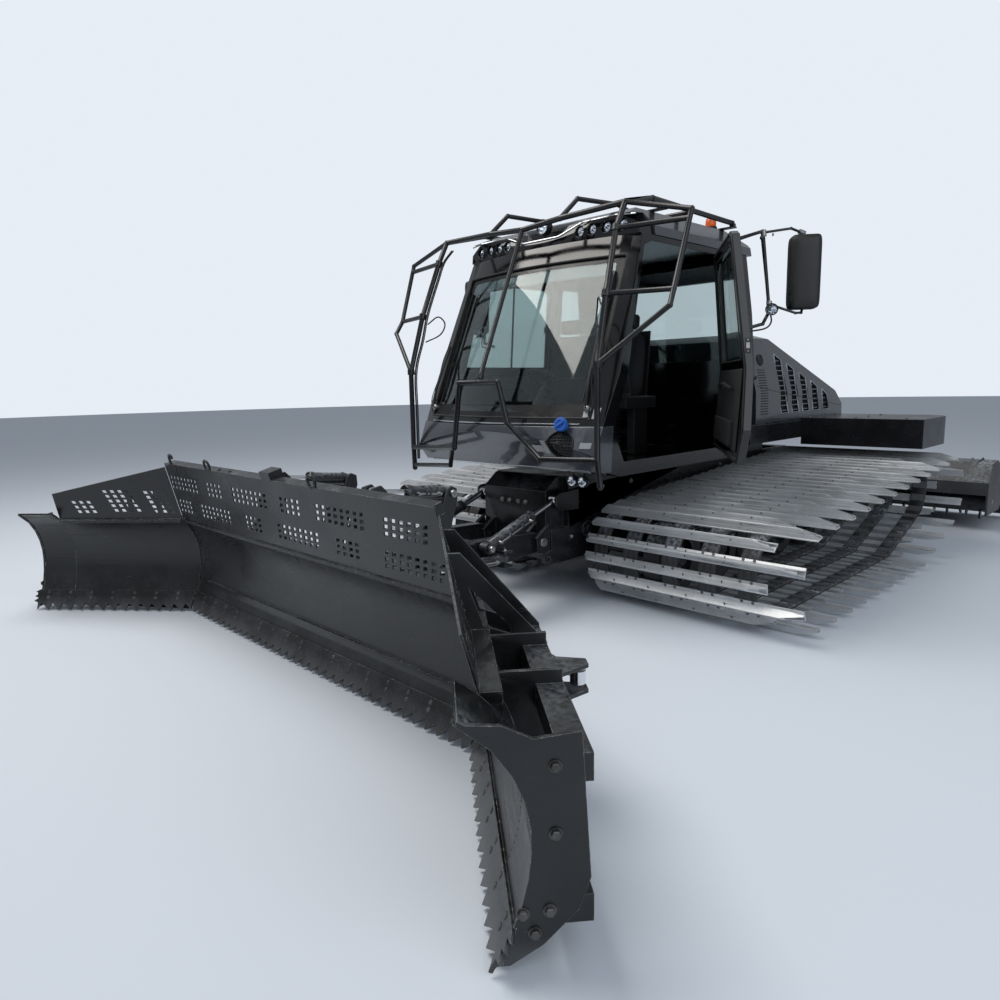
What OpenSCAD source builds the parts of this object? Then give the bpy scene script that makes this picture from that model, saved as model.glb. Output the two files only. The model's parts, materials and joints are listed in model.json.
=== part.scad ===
// Tracked snow groomer with a winged front blade and a rear tiller.
// X points forward, Y to the vehicle's left, Z up; the ground is at Z = 0.

/* [Running gear] */
// Inner edge of each track from the centre line
track_in = 480; // [460:1:500]
// Outer tip of the long crossbars from the centre line
track_out = 2223; // [2100:1:2300]
// Outer tip of the short crossbars from the centre line
track_short = 1990; // [1900:1:2050]
// Height of a crossbar above its belt
bar_h = 65; // [50:1:80]
// Width of a crossbar's foot along the belt
bar_w = 74; // [50:1:90]
// Crossbars on one track
bar_count = 56; // [40:2:70]
// Thickness of the rubber belts
belt_t = 20; // [14:1:26]
// Width of one rubber belt
belt_w = 130; // [100:1:150]
// Centre of the front wheel ahead of the origin
front_x = 1045; // [1000:1:1080]
// Belt's outer radius round the front wheel
front_r = 320; // [300:1:330]
// Centre of the last road wheel behind the origin
road_x = -1280; // [-1300:1:-1200]
// Radius of a road wheel
road_r = 268; // [240:1:270]
// Centre of the drive wheel behind the origin
drive_x = -2070; // [-2100:1:-2000]
// Height of the drive wheel's axle
drive_z = 620; // [560:1:640]
// Belt's outer radius round the drive wheel
drive_r = 300; // [280:1:310]

/* [Cab] */
// Half width of the cab at its waist
cab_half = 985; // [950:1:1000]
// Half width of the cab under its roof
cab_top_half = 905; // [880:1:940]
// Height of the cab's underside
cab_low = 1050; // [1040:1:1080]
// Height of the cab's waist
cab_waist = 1800; // [1750:1:1850]
// Height of the cab's shell under the roof
cab_high = 2790; // [2760:1:2800]
// Thickness of the cab's walls and doors
wall = 50; // [40:1:60]
// Rear wall of the cab
cab_back = -400; // [-420:1:-380]
// Windscreen's foot on the centre line
screen_x = 1960; // [1920:1:1980]
// Height of the windscreen's foot
screen_z = 1430; // [1400:1:1460]
// Lean of the windscreen from upright
screen_lean = 23; // [20:1:26]
// Radius of the windscreen's curve seen from above
screen_r = 2900; // [2600:10:3200]
// How far the left door stands open
door_open = 35; // [0:1:80]

/* [Blade] */
// Cutting edge of the blade's centre part
blade_x = 3670; // [3650:1:3690]
// Half width of the blade's centre part
blade_half = 1762; // [1740:1:1780]
// Length of one wing
wing_len = 1318; // [1200:1:1330]
// How far both wings are swung forward
wing_swing = 39.65; // [39:0.05:40]
// Height of the ridge between mouldboard and snow guard
ridge_z = 750; // [740:1:760]
// Height of the snow guard, measured along its slope
guard_h = 455; // [420:1:480]
// Pitch of the cutting edge's teeth
tooth = 92; // [80:1:120]

/* [Tiller] */
// Half width of the tiller
tiller_half = 2250; // [2100:1:2300]
// Centre of the tiller's rotor behind the origin
rotor_x = -3560; // [-3600:1:-3500]
// Height of the tiller's rotor axle
rotor_z = 330; // [300:1:340]
// Rear edge of the finisher
rear_x = -4597; // [-4650:1:-4400]

/* [Hidden] */
$fn = 48;
eps = 1;

// Colours
steel_black = [0.07, 0.07, 0.08];
paint_grey = [0.28, 0.29, 0.32];
silver = [0.75, 0.76, 0.78];
rubber = [0.05, 0.05, 0.05];
glass_tint = [0.35, 0.45, 0.48, 0.5];

// Small parts that more than one piece uses

// Straight round bar from p to q
module rod(p, q, r) {
    d = q - p;
    len = norm(d);
    turn = atan2(d[1], d[0]);
    lean = acos(d[2] / len);
    translate(p)
        rotate([0, lean, turn])
            cylinder(h = len, r = r);
}

// Round tubes through a list of points, with a weld knuckle at each bend
// and at the ends, of which skip counts those left plain at the start and at the end
module tubes(points, r, skip = [0, 0]) {
    for (i = [0 : len(points) - 2])
        rod(points[i], points[i + 1], r);
    for (i = [skip[0] : 1 : len(points) - 1 - skip[1]])
        translate(points[i])
            sphere(r = r + 2, $fn = 24);
}

// Box given by its two opposite corners
module block(a, b) {
    translate(a)
        cube(b - a);
}

// Outline in X and Z, drawn out along Y from y0 to y1
module side_plate(y0, y1) {
    translate([0, y1, 0])
        rotate([90, 0, 0])
            linear_extrude(height = y1 - y0)
                children();
}

// Outline in Y and Z, drawn out along X from x0 to x1
module front_plate(x0, x1) {
    translate([x0, 0, 0])
        rotate([90, 0, 90])
            linear_extrude(height = x1 - x0)
                children();
}

// Flat outline in X and Y, lying at height z
module linear_plate(z, t, outline) {
    translate([0, 0, z])
        linear_extrude(height = t)
            polygon(outline);
}

// Cylinder along Y
module pin_y(x, z, y0, y1, r) {
    translate([x, y1, z])
        rotate([90, 0, 0])
            cylinder(h = y1 - y0, r = r);
}

// Cylinder along X
module pin_x(y, z, x0, x1, r) {
    translate([x0, y, z])
        rotate([0, 90, 0])
            cylinder(h = x1 - x0, r = r);
}

// The same piece on the left and the right
module both_sides() {
    children();
    mirror([0, 1, 0])
        children();
}

// Track: a loop round three circles, each [x, z, radius of the belt's outside]
road_z = bar_h + belt_t + road_r + 2;
front_z = bar_h + front_r;
loop_circles = [[front_x, front_z, front_r], [drive_x, drive_z, drive_r], [road_x, road_z, road_z - bar_h]];

// Direction, in degrees, of the outward normal of the tangent from circle a to circle b
function tangent_dir(a, b) =
    let (d = [b[0] - a[0], b[1] - a[1]])
    atan2(d[1], d[0]) - acos((a[2] - b[2]) / norm(d));

// Counter-clockwise loop: top run back, round the drive wheel, down, along the ground, round the front
dir_top = tangent_dir(loop_circles[0], loop_circles[1]);
dir_rear = tangent_dir(loop_circles[1], loop_circles[2]);
dir_ground = tangent_dir(loop_circles[2], loop_circles[0]);
a_top = (dir_top + 720) % 360;
a_rear = (dir_rear + 720) % 360;
a_ground = (dir_ground + 720) % 360;

// Stretches of the loop: [circle, first angle, last angle]
loop_arcs = [
    [loop_circles[0], a_ground - 360, a_top],
    [loop_circles[1], a_top, a_rear],
    [loop_circles[2], a_rear, a_ground]];
loop_steps = [14, 12, 4];

function loop_point(c, a, grow) = [c[0] + (c[2] + grow) * cos(a), c[1] + (c[2] + grow) * sin(a)];
function loop_outline(grow) =
    [for (k = [0 : 2], i = [0 : loop_steps[k]])
        let (s = loop_arcs[k])
        loop_point(s[0], s[1] + (s[2] - s[1]) * i / loop_steps[k], grow)];

// Lengths of arcs and of the straight runs after them, measured on the belt's outside
arc_len = [for (s = loop_arcs) s[0][2] * (s[2] - s[1]) * PI / 180];
run_len = [for (k = [0 : 2])
    let (s = loop_arcs[k], t = loop_arcs[(k + 1) % 3])
    norm(loop_point(t[0], t[1], 0) - loop_point(s[0], s[2], 0))];
loop_len = arc_len[0] + arc_len[1] + arc_len[2] + run_len[0] + run_len[1] + run_len[2];

// Place and outward angle on the loop at distance s: [x, z, angle]
function loop_at(s, k = 0) =
    let (t = loop_arcs[k], n = loop_arcs[(k + 1) % 3])
    s < arc_len[k]
        ? let (a = t[1] + (t[2] - t[1]) * s / arc_len[k], p = loop_point(t[0], a, 0)) [p[0], p[1], a]
        : s < arc_len[k] + run_len[k]
            ? let (f = (s - arc_len[k]) / run_len[k], p = loop_point(t[0], t[2], 0), q = loop_point(n[0], n[1], 0))
                [p[0] + (q[0] - p[0]) * f, p[1] + (q[1] - p[1]) * f, t[2]]
            : loop_at(s - arc_len[k] - run_len[k], (k + 1) % 3);

// Belt centres from the vehicle's centre line
belt_rows = [620, 900, 1240, 1540, 1840];
belt_points = loop_outline(0);
belt_inner = loop_outline(-belt_t);
belt_n = len(belt_points);

// One crossbar, standing up along +Z with its length along +Y
module crossbar(tip) {
    chamfer = 150;
    intersection() {
        translate([0, tip, 0])
            rotate([90, 0, 0])
                linear_extrude(height = tip - track_in)
                    polygon([[-bar_w / 2, -4], [bar_w / 2, -4], [10, bar_h], [-6, bar_h]]);
        rotate([90, 0, 90])
            linear_extrude(height = 2 * bar_w, center = true)
                polygon([[track_in, -5], [tip, -5], [tip, 22], [tip - chamfer, bar_h + eps],
                    [track_in + 60, bar_h + eps], [track_in, 30]]);
    }
}

module track() {
    for (y = belt_rows)
        side_plate(y - belt_w / 2, y + belt_w / 2)
            polygon(points = concat(belt_points, belt_inner),
                paths = [[for (i = [0 : belt_n - 1]) i], [for (i = [0 : belt_n - 1]) i + belt_n]]);
    for (i = [0 : bar_count - 1]) {
        p = loop_at((i + 0.25) * loop_len / bar_count);
        translate([p[0], 0, p[1]])
            rotate([0, 90 - p[2], 0])
                crossbar(i % 2 == 0 ? track_out : track_short);
    }
}

module track_left() {
    color(silver)
        track();
}

module track_right() {
    color(silver)
        mirror([0, 1, 0])
            track();
}

// Wheels
wheel_y = 1070;
tyre_w = 190;
tyre_gap = 2;
front_tyre_r = front_r - belt_t - tyre_gap;
road_pitch = 567;
// Wheel columns: x, z, radius of the tyre
road_rows = [for (i = [0 : 3]) [road_x + i * road_pitch, road_z, road_r]];
wheel_rows = concat(road_rows, [[front_x, front_z, front_tyre_r]]);
rim_ratio = 0.60;
axle_r = 42;

module tyre(r, w) {
    rotate([90, 0, 0])
        rotate_extrude()
            polygon([[r * rim_ratio, -w / 2 + 12], [r - 40, -w / 2], [r, -w / 2 + 30],
                [r, w / 2 - 30], [r - 40, w / 2], [r * rim_ratio, w / 2 - 12]]);
}

module rim(r, w) {
    rotate([90, 0, 0])
        rotate_extrude()
            polygon([[axle_r, -50], [90, -50], [95, -20], [r * rim_ratio - 14, -30], [r * rim_ratio - 14, -w / 2 + 12],
                [r * rim_ratio, -w / 2 + 12], [r * rim_ratio, w / 2 - 12], [r * rim_ratio - 14, w / 2 - 12],
                [r * rim_ratio - 14, -10], [95, 0], [90, 60], [axle_r, 60]]);
}

// Drive wheel: rings of teeth that push the crossbars between the belts
drive_rows = [760, 1070, 1390];
drive_teeth = 13;
drive_body_r = drive_r - belt_t - 8;

module toothed_ring() {
    rotate([90, 0, 0])
        linear_extrude(height = 60, center = true)
            difference() {
                polygon([for (i = [0 : drive_teeth - 1], t = [[-0.32, 0], [-0.12, 1], [0.12, 1], [0.32, 0]])
                    let (a = (i + t[0]) * 360 / drive_teeth, r = drive_body_r - 34 + 34 * t[1])
                    r * [cos(a), sin(a)]]);
                circle(r = drive_body_r - 70);
            }
}

module wheel_tyres() {
    color(rubber)
        both_sides() {
            for (w = wheel_rows)
                translate([w[0], wheel_y, w[1]])
                    tyre(w[2], tyre_w);
            for (y = drive_rows)
                translate([drive_x, y, drive_z])
                    toothed_ring();
        }
}

module wheel_rims() {
    color(steel_black)
        both_sides() {
            for (w = wheel_rows)
                translate([w[0], wheel_y, w[1]])
                    rim(w[2], tyre_w);
            translate([drive_x, 0, drive_z]) {
                for (y = drive_rows)
                    translate([0, y, 0])
                        rotate([90, 0, 0])
                            difference() {
                                cylinder(h = 24, r = drive_body_r - 70, center = true);
                                for (a = [0 : 60 : 300])
                                    rotate([0, 0, a])
                                        translate([145, 0, 0])
                                            cylinder(h = 30, r = 32, center = true);
                            }
                pin_y(0, 0, 600, 1460, 85);
            }
        }
}

// Arms and axles that carry the wheels
tub_half = 400;
arm_in = 404;
arm_out = 450;

module wheel_arms() {
    color(steel_black)
        both_sides() {
            for (w = wheel_rows) {
                pin_y(w[0], w[1], arm_in, wheel_y + 110, axle_r - 0.05);
                side_plate(arm_in, arm_out)
                    difference() {
                        union() {
                            translate([w[0], w[1]])
                                circle(r = 75);
                            polygon([[w[0] - 60, w[1] + 40], [w[0] + 60, w[1] - 40],
                                [w[0] + 290, w[1] + 130], [w[0] + 240, w[1] + 240]]);
                            translate([w[0] + 262, w[1] + 185])
                                circle(r = 62);
                        }
                        translate([w[0] + 262, w[1] + 185])
                            circle(r = 28);
                    }
                pin_y(w[0] + 262, w[1] + 185, tub_half, arm_out + 20, 27.9);
            }
            pin_y(drive_x, drive_z, arm_in, 598, 150);
        }
}

// Chassis: a steel tub between the tracks
tub_front = 1690;
tub_back = -2420;
tie_x = 1730;
tie_z = 385;
tie_r = 22;
tow_x = -2490;
tow_z = 540;
tow_r = 26;
lift_x = 1760;
lift_z = 520;
pin_gap = 0.05;

module chassis_frame() {
    color(steel_black) {
        difference() {
            side_plate(-tub_half, tub_half)
                polygon([[tub_front, 420], [tub_front, 900], [1560, 1000], [cab_back - 100, 1000],
                    [cab_back - 200, 960], [tub_back, 960], [tub_back, 520], [-2150, 380], [1600, 330]]);
            side_plate(-tub_half + 20, tub_half - 20)
                polygon([[-500, 700], [-500, 1040], [-2300, 1040], [-2300, 560], [-2100, 420], [-700, 420]]);
            // Recesses beside which the lift cylinders stand
            both_sides()
                block([1480, cyl_y - 52, 600], [tub_front + 50, tub_half + 10, 1100]);
        }
        // Forked lugs for the lift frame, with their pins
        both_sides() {
            for (y = [215, 345])
                side_plate(y, y + 30)
                    polygon([[tub_front - eps, 420], [lift_x + 60, 440], [lift_x + 70, 560], [tub_front - eps, 650]]);
            pin_y(lift_x, lift_z, 215, 375, 34);
            // Outer plates of the lift cylinders' forks
            side_plate(cyl_y + 36, cyl_y + 54)
                polygon([[1410, 740], [1640, 760], [tub_front - 10, 800], [tub_front - 10, 870], [1640, 890], [1410, 900]]);
            block([1410, tub_half - eps, 740], [1479, cyl_y + 40, 900]);
        }
        // Rear lugs of the tiller's lift
        both_sides()
            for (y = [240, 370])
                side_plate(y, y + 30)
                    polygon([[tub_back + eps, 560], [rear_pivot[0] - 50, 590], [rear_pivot[0] - 60, 680],
                        [tub_back + eps, 760]]);
        pin_y(rear_pivot[0], rear_pivot[1], -400, -240, 30);
        pin_y(rear_pivot[0], rear_pivot[1], 240, 400, 30);
        // Tie-down plates at the front corners and a towing eye at the back
        both_sides()
            side_plate(tub_half - 30, tub_half)
                difference() {
                    polygon([[1600, 340], [tie_x - 20, 330], [tie_x + 50, 360], [tie_x + 50, 420], [1650, 460]]);
                    translate([tie_x, tie_z])
                        circle(r = tie_r);
                }
        difference() {
            block([tow_x - 60, -60, tow_z - 15], [tub_back + 20, 60, tow_z + 15]);
            translate([tow_x, 0, tow_z - 20])
                cylinder(h = 40, r = tow_r);
        }
        for (y = [-72, 52])
            side_plate(y, y + 20)
                polygon([[tub_back + eps, 860], [rear_base[0] - 40, 880], [rear_base[0] - 45, 950], [tub_back + eps, 950]]);
        pin_y(rear_base[0], rear_base[2], -72, 72, 22);
    }
}

module engine_block() {
    color(silver)
        block([-2050, -300, 620], [-800, 300, 1450]);
}

// Cab body without its thickness: t is how far its faces lie inside the outer skin
module cab_form(t) {
    intersection() {
        side_plate(-1100, 1100)
            polygon([[cab_back + t, cab_low + t], [1540, cab_low + t], [1790 - t, 1110 + t], [1990 - t, 1390 + t * 0.3],
                [2010 - t, 1430], [1500 - t, cab_high - t], [cab_back + 60 + t, cab_high - t],
                [cab_back + t, 2300]]);
        front_plate(-600, 2200)
            polygon([[-cab_half + 45 + t, cab_low + t], [cab_half - 45 - t, cab_low + t],
                [cab_half - t, cab_waist], [cab_top_half - t, cab_high - t],
                [-cab_top_half + t, cab_high - t], [-cab_half + t, cab_waist]]);
        translate([screen_x, 0, screen_z])
            rotate([0, -screen_lean, 0])
                translate([-screen_r, 0, 0])
                    cylinder(h = 4600, r = screen_r - t, center = true, $fn = 180);
    }
}

// Outlines in X and Z of the openings in the cab's sides
function door_outline(g) = [[130 - g, 1165 - g], [1500 + g, 1165 - g], [1640 + g, 1400 - g], [1215 + g, 2700 + g],
    [1120 + g, 2735 + g], [150, 2735 + g], [130 - g, 2700 + g]];
window_outline = [[210, 1860], [1330, 1860], [1160, 2560], [1080, 2650], [240, 2650], [210, 2600]];
rear_window = [[-310, 1860], [40, 1860], [40, 2650], [-250, 2650], [-310, 2300]];
back_window = [[-780, 1900], [780, 1900], [740, 2600], [-740, 2600]];
hinge_x = 100;
hinge_y = 1015;
door_gap = 8;
hinge_heights = [1400, 2250];

// Windscreen opening, seen from the front
screen_outline = [[-850, 1480], [850, 1480], [830, 2640], [-830, 2640]];

module cab_shell() {
    color(steel_black) {
        difference() {
            cab_form(0);
            cab_form(wall);
            side_plate(-1200, 1200)
                polygon(door_outline(door_gap));
            side_plate(-1200, 1200)
                polygon(rear_window);
            front_plate(cab_back - 100, cab_back + 200)
                polygon(back_window);
            front_plate(1150, 2200)
                polygon(screen_outline);
        }
        cab_visor();
        both_sides()
            for (z = hinge_heights) {
                block([hinge_x - 50, 900, z - 60], [hinge_x - 20, hinge_y - 5, z - 10]);
                block([hinge_x - 50, hinge_y - 22, z - 60], [hinge_x, hinge_y + 10, z - 20]);
                translate([hinge_x, hinge_y, z - 60])
                    cylinder(h = 110, r = 9);
            }
    }
}

// Curved visor over the windscreen, with a round pocket for each lamp
visor_x = 1318;
visor_r = 4700;
visor_z = 2866;
lamp_r = 38;
lamp_ys = [385, 494, 616, 751];
function visor_front(y) = visor_x - y * y / (2 * visor_r);

module cab_visor() {
    difference() {
        intersection() {
            side_plate(-1000, 1000)
                polygon([[1080, cab_high - eps], [1380, cab_high - eps], [1350, 2806], [1300, 2932], [1080, 2962]]);
            front_plate(1000, 1500)
                polygon([[-906, 2700], [906, 2700], [880, 2860], [700, 2962], [-700, 2962], [-880, 2860]]);
            translate([visor_x + 22 - visor_r, 0, 2600])
                cylinder(h = 500, r = visor_r, $fn = 240);
        }
        // The middle dips for the searchlight
        front_plate(1150, 1500)
            polygon([[-330, 2990], [-190, 2850], [190, 2850], [330, 2990]]);
        both_sides()
            for (y = lamp_ys)
                pin_x(y, visor_z, visor_front(y) - 60, 1500, lamp_r + 3);
    }
}

module cab_glass() {
    color(glass_tint) {
        intersection() {
            difference() {
                cab_form(16);
                cab_form(24);
            }
            union() {
                front_plate(1150, 2200)
                    polygon(screen_outline);
                front_plate(cab_back - 100, cab_back + 200)
                    polygon(back_window);
                side_plate(-1200, 1200)
                    polygon(rear_window);
            }
        }
    }
}

// Door in its closed place on the left side
module door_closed() {
    difference() {
        intersection() {
            difference() {
                cab_form(0);
                cab_form(wall);
            }
            side_plate(500, 1200)
                polygon(door_outline(0));
        }
        side_plate(500, 1200)
            polygon(window_outline);
    }
    difference() {
        for (z = hinge_heights) {
            block([hinge_x + 34, hinge_y - 70, z - 15], [hinge_x + 60, hinge_y - 5, z + 45]);
            block([hinge_x, hinge_y - 12, z - 15], [hinge_x + 60, hinge_y + 12, z + 45]);
            translate([hinge_x, hinge_y, z - 15])
                cylinder(h = 60, r = 16);
        }
        for (z = hinge_heights)
            translate([hinge_x, hinge_y, z - 70])
                cylinder(h = 200, r = 9 + pin_gap);
    }
}

module glass_closed() {
    intersection() {
        difference() {
            cab_form(20);
            cab_form(26);
        }
        side_plate(500, 1200)
            polygon(window_outline);
    }
}

// Mirror and its tube frame, held by the door's front edge
module mirror_set() {
    tubes([[980, 908, 2700], [830, 1120, 2775], [850, 1180, 2210], [900, 1130, 2120], [930, 975, 2080]], 12);
    tubes([[805, 1120, 2730], [825, 1180, 2250]], 9);
    block([795, 1105, 2725], [845, 1135, 2745]);
    block([815, 1165, 2245], [865, 1195, 2265]);
    tubes([[830, 1120, 2765], [740, 1330, 2800], [700, 1420, 2770], [700, 1430, 2720]], 9);
    tubes([[850, 1180, 2260], [760, 1380, 2200], [710, 1430, 2205], [700, 1440, 2250]], 9);
    intersection() {
        side_plate(1340, 1540)
            polygon([[655, 2290], [675, 2240], [745, 2250], [750, 2700], [735, 2735], [670, 2745], [655, 2700]]);
        front_plate(600, 800)
            polygon([[1360, 2240], [1500, 2240], [1530, 2290], [1540, 2690], [1515, 2745], [1345, 2745], [1340, 2300]]);
    }
}

module door_turned() {
    translate([hinge_x, hinge_y, 0])
        rotate([0, 0, door_open])
            translate([-hinge_x, -hinge_y, 0])
                children();
}

module door_left() {
    color(steel_black)
        door_turned() {
            door_closed();
            mirror_set();
        }
}

module door_left_glass() {
    color(glass_tint)
        door_turned()
            glass_closed();
}

module door_right() {
    color(steel_black)
        mirror([0, 1, 0]) {
            door_closed();
            mirror_set();
        }
}

module door_right_glass() {
    color(glass_tint)
        mirror([0, 1, 0])
            glass_closed();
}

// Grey panels: the roof over the visor, and the skin round the nose below the windscreen
roof_low = cab_high + 0.5;
roof_high = 3004;

module cab_panels() {
    color(paint_grey) {
        difference() {
            intersection() {
                side_plate(-1000, 1000)
                    polygon([[cab_back - 20, roof_low], [1079, roof_low], [1079, 2964], [1297, 2934], [1120, roof_high],
                        [-200, roof_high], [cab_back - 20, 2890]]);
                front_plate(-600, 2000)
                    polygon([[-930, 2700], [930, 2700], [900, 2860], [760, roof_high], [-760, roof_high], [-900, 2860]]);
            }
            front_plate(1150, 1500)
                polygon([[-350, 3010], [-190, 2850], [190, 2850], [350, 3010]]);
        }
        difference() {
            cab_form(-8);
            cab_form(-0.3);
            block([-1000, -1500, 900], [1665, 1500, 3500]);
            block([1000, -1500, 1424], [2500, 1500, 3500]);
            block([1000, -1500, 900], [2500, 1500, 1092]);
            // Inlet beside the driver's door
            pin_x(690, 1290, 1500, 2100, 105);
        }
    }
}

module cab_lamps() {
    color(silver) {
        both_sides()
            for (y = lamp_ys)
                pin_x(y, visor_z, visor_front(y) - 60, visor_front(y), lamp_r);
        // Searchlight on its stalk, and the beacon
        pin_x(0, 2960, 1235, 1318, 60);
        translate([1275, 0, 2850])
            cylinder(h = 60, r = 16);
        translate([-80, 700, roof_high])
            cylinder(h = 110, r = 52);
    }
}

// Guard cage in front of the windscreen and over the roof
cage_r = 21;
hoop_r = 18;

module guard_cage() {
    color(steel_black) {
        both_sides() {
            // Front upright and roof rail
            tubes([[1888, 1022, 1019], [1904, 1008, 1202], [1903, 1005, 1848], [1773, 980, 2318], [1606, 938, 2767],
                [1505, 940, 2952], [1100, 890, 3046], [-169, 850, 3046]], cage_r);
            // Side loop and its two stays
            tubes([[1903, 1005, 1848], [1715, 1440, 2205], [1650, 1426, 2313], [1479, 1442, 2823], [1505, 940, 2952]],
                hoop_r, [1, 1]);
            rod([1773, 980, 2318], [1650, 1426, 2313], hoop_r);
            rod([1606, 938, 2767], [1498, 1440, 2765], hoop_r);
            // Rail over the roof
            tubes([[1524, 370, 2936], [1323, 372, 3104], [852, 400, 3127], [500, 420, 3046]], hoop_r, [1, 1]);
            // Feet on the roof
            for (x = [900, -169]) {
                block([x - 29, 680, roof_high], [x + 29, 880, roof_high + 12]);
                block([x - 20, 836, roof_high], [x + 20, 876, 3040]);
            }
            block([470, 390, roof_high], [530, 450, 3040]);
        }
        tubes([[1505, -940, 2952], [1524, -370, 2936], [1545, 0, 2908], [1524, 370, 2936], [1505, 940, 2952]], cage_r, [1, 1]);
        rod([1545, 0, 2908], [2050, 0, 1746], hoop_r);
        // Hoop in front of the nose, with a short bar below it on the right
        tubes([[1904, -1008, 1202], [2050, -300, 1240], [2050, -215, 1746], [2050, 205, 1746], [2045, 290, 1450],
            [2030, 600, 1200], [1904, 1008, 1202]], cage_r, [1, 1]);
        tubes([[1890, -1020, 1045], [2010, -400, 1090], [2044, -330, 1238]], hoop_r, [1, 1]);
    }
}

module seat_at(y) {
    block([250, y - 260, 1420], [800, y + 260, 1540]);
    side_plate(y - 250, y + 250)
        polygon([[180, 1545], [320, 1545], [230, 2350], [90, 2350]]);
    block([350, y - 180, cab_low + wall], [700, y + 180, 1418]);
}

module seats() {
    color(rubber) {
        seat_at(0);
        seat_at(-620);
    }
}

module console() {
    color(steel_black) {
        side_plate(-700, 700)
            polygon([[1450, 1102], [1536, 1102], [1700, 1154], [1760, 1380], [1600, 1560], [1450, 1500]]);
        block([300, 300, 1500], [750, 420, 1600]);
        block([400, 320, cab_low + wall], [600, 400, 1500]);
    }
}

// Engine hood with slanted vents in its sides
hood_front = -560;
hood_back = -2620;
hood_low = 1310;
hood_t = 20;

hood_pivot = [-2642, 1300];

module hood_form(t) {
    intersection() {
        side_plate(-1000, 1000)
            polygon([[hood_front - t, hood_low - (t > 0 ? eps : 0)], [hood_front - t, 2080], [-640, 2140 - t],
                [-880, 2140 - t], [-2430, 1580 - t], [hood_back + t, 1440], [hood_back + t, hood_low - (t > 0 ? eps : 0)]]);
        front_plate(-3000, 0)
            polygon([[-940 + t, 1200], [940 - t, 1200], [930 - t, 1600], [820 - t, 2100], [700, 2140 - t],
                [-700, 2140 - t], [-820 + t, 2100], [-930 + t, 1600]]);
    }
}

// Slanted vents in the sides, shorter towards the rear
vent_pitch = 250;
louvre_pitch = 48;
hood_pin_r = 10;
hood_knuckle_r = 18;

module hood_vents() {
    for (i = [0 : 4]) {
        x = -1060 - i * vent_pitch;
        top = 1960 - i * 88;
        side_plate(-1200, 1200)
            polygon([[x - 20, 1390], [x - 180, 1390], [x - 120, top - 60], [x + 10, top]]);
    }
}

module engine_hood() {
    color(paint_grey) {
        difference() {
            hood_form(0);
            hood_form(hood_t);
            hood_vents();
        }
        // Louvres across the vents
        intersection() {
            difference() {
                hood_form(6);
                hood_form(hood_t);
            }
            hood_vents();
            for (z = [1410 : louvre_pitch : 1980])
                block([-2600, -1200, z], [-900, 1200, z + 12]);
        }
        // Knuckles on the rear hinge, with a web up to the hood's rear wall
        both_sides()
            difference() {
                union() {
                    pin_y(hood_pivot[0], hood_pivot[1], 500, 600, hood_knuckle_r);
                    block([hood_pivot[0] - 8, 500, hood_pivot[1]], [hood_pivot[0] + 8, 600, hood_pivot[1] + 60]);
                    block([hood_pivot[0] - 8, 500, hood_pivot[1] + 40], [hood_back + 10, 600, hood_pivot[1] + 70]);
                }
                pin_y(hood_pivot[0], hood_pivot[1], 490, 610, hood_pin_r + pin_gap);
            }
    }
}

module rear_deck() {
    color(steel_black) {
        // Sill band round the engine bay
        difference() {
            block([hood_back, -940, 1130], [cab_back - 60, 940, hood_low - 6]);
            block([hood_back + 40, -900, 1100], [cab_back - 100, 900, hood_low]);
        }
        // Covers over the rear of the tracks, with their outer rear corner rounded off
        both_sides()
            difference() {
                track_cover(0, [1060, 1330]);
                track_cover(30, [1040, 1296]);
            }
        // Lugs and pins of the hood's hinge
        both_sides()
            for (y = [460, 606])
                side_plate(y, y + 34)
                    union() {
                        translate(hood_pivot)
                            circle(r = hood_knuckle_r);
                        polygon([[hood_back + eps, 1200], [hood_back + eps, 1290], [hood_pivot[0] + 5, 1310],
                            [hood_pivot[0] - 17, 1295], [hood_pivot[0] - 14, 1200]]);
                    }
        both_sides()
            pin_y(hood_pivot[0], hood_pivot[1], 460, 640, hood_pin_r);
    }
}

// Plan of a track cover, drawn in by t all round, between heights z[0] and z[1]
cover_front = -1550;
cover_rear = -2450;
cover_out = 2060;
cover_round = 240;

module track_cover(t, z) {
    translate([0, 0, z[0]])
        linear_extrude(height = z[1] - z[0]) {
            translate([cover_rear + cover_round, cover_out - cover_round])
                circle(r = cover_round - t);
            polygon([[cover_front - t, 941 + t], [cover_front - t, cover_out - t], [cover_rear + cover_round, cover_out - t],
                [cover_rear + t, cover_out - cover_round], [cover_rear + t, 941 + t]]);
        }
}

// Front lift frame, from its pivot on the chassis to the upright swivel pin
swivel_x = 2760;
lift_base = [1640, 0, 840];
lift_eye = [2380, 0, 585];
cyl_y = 390;

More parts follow.
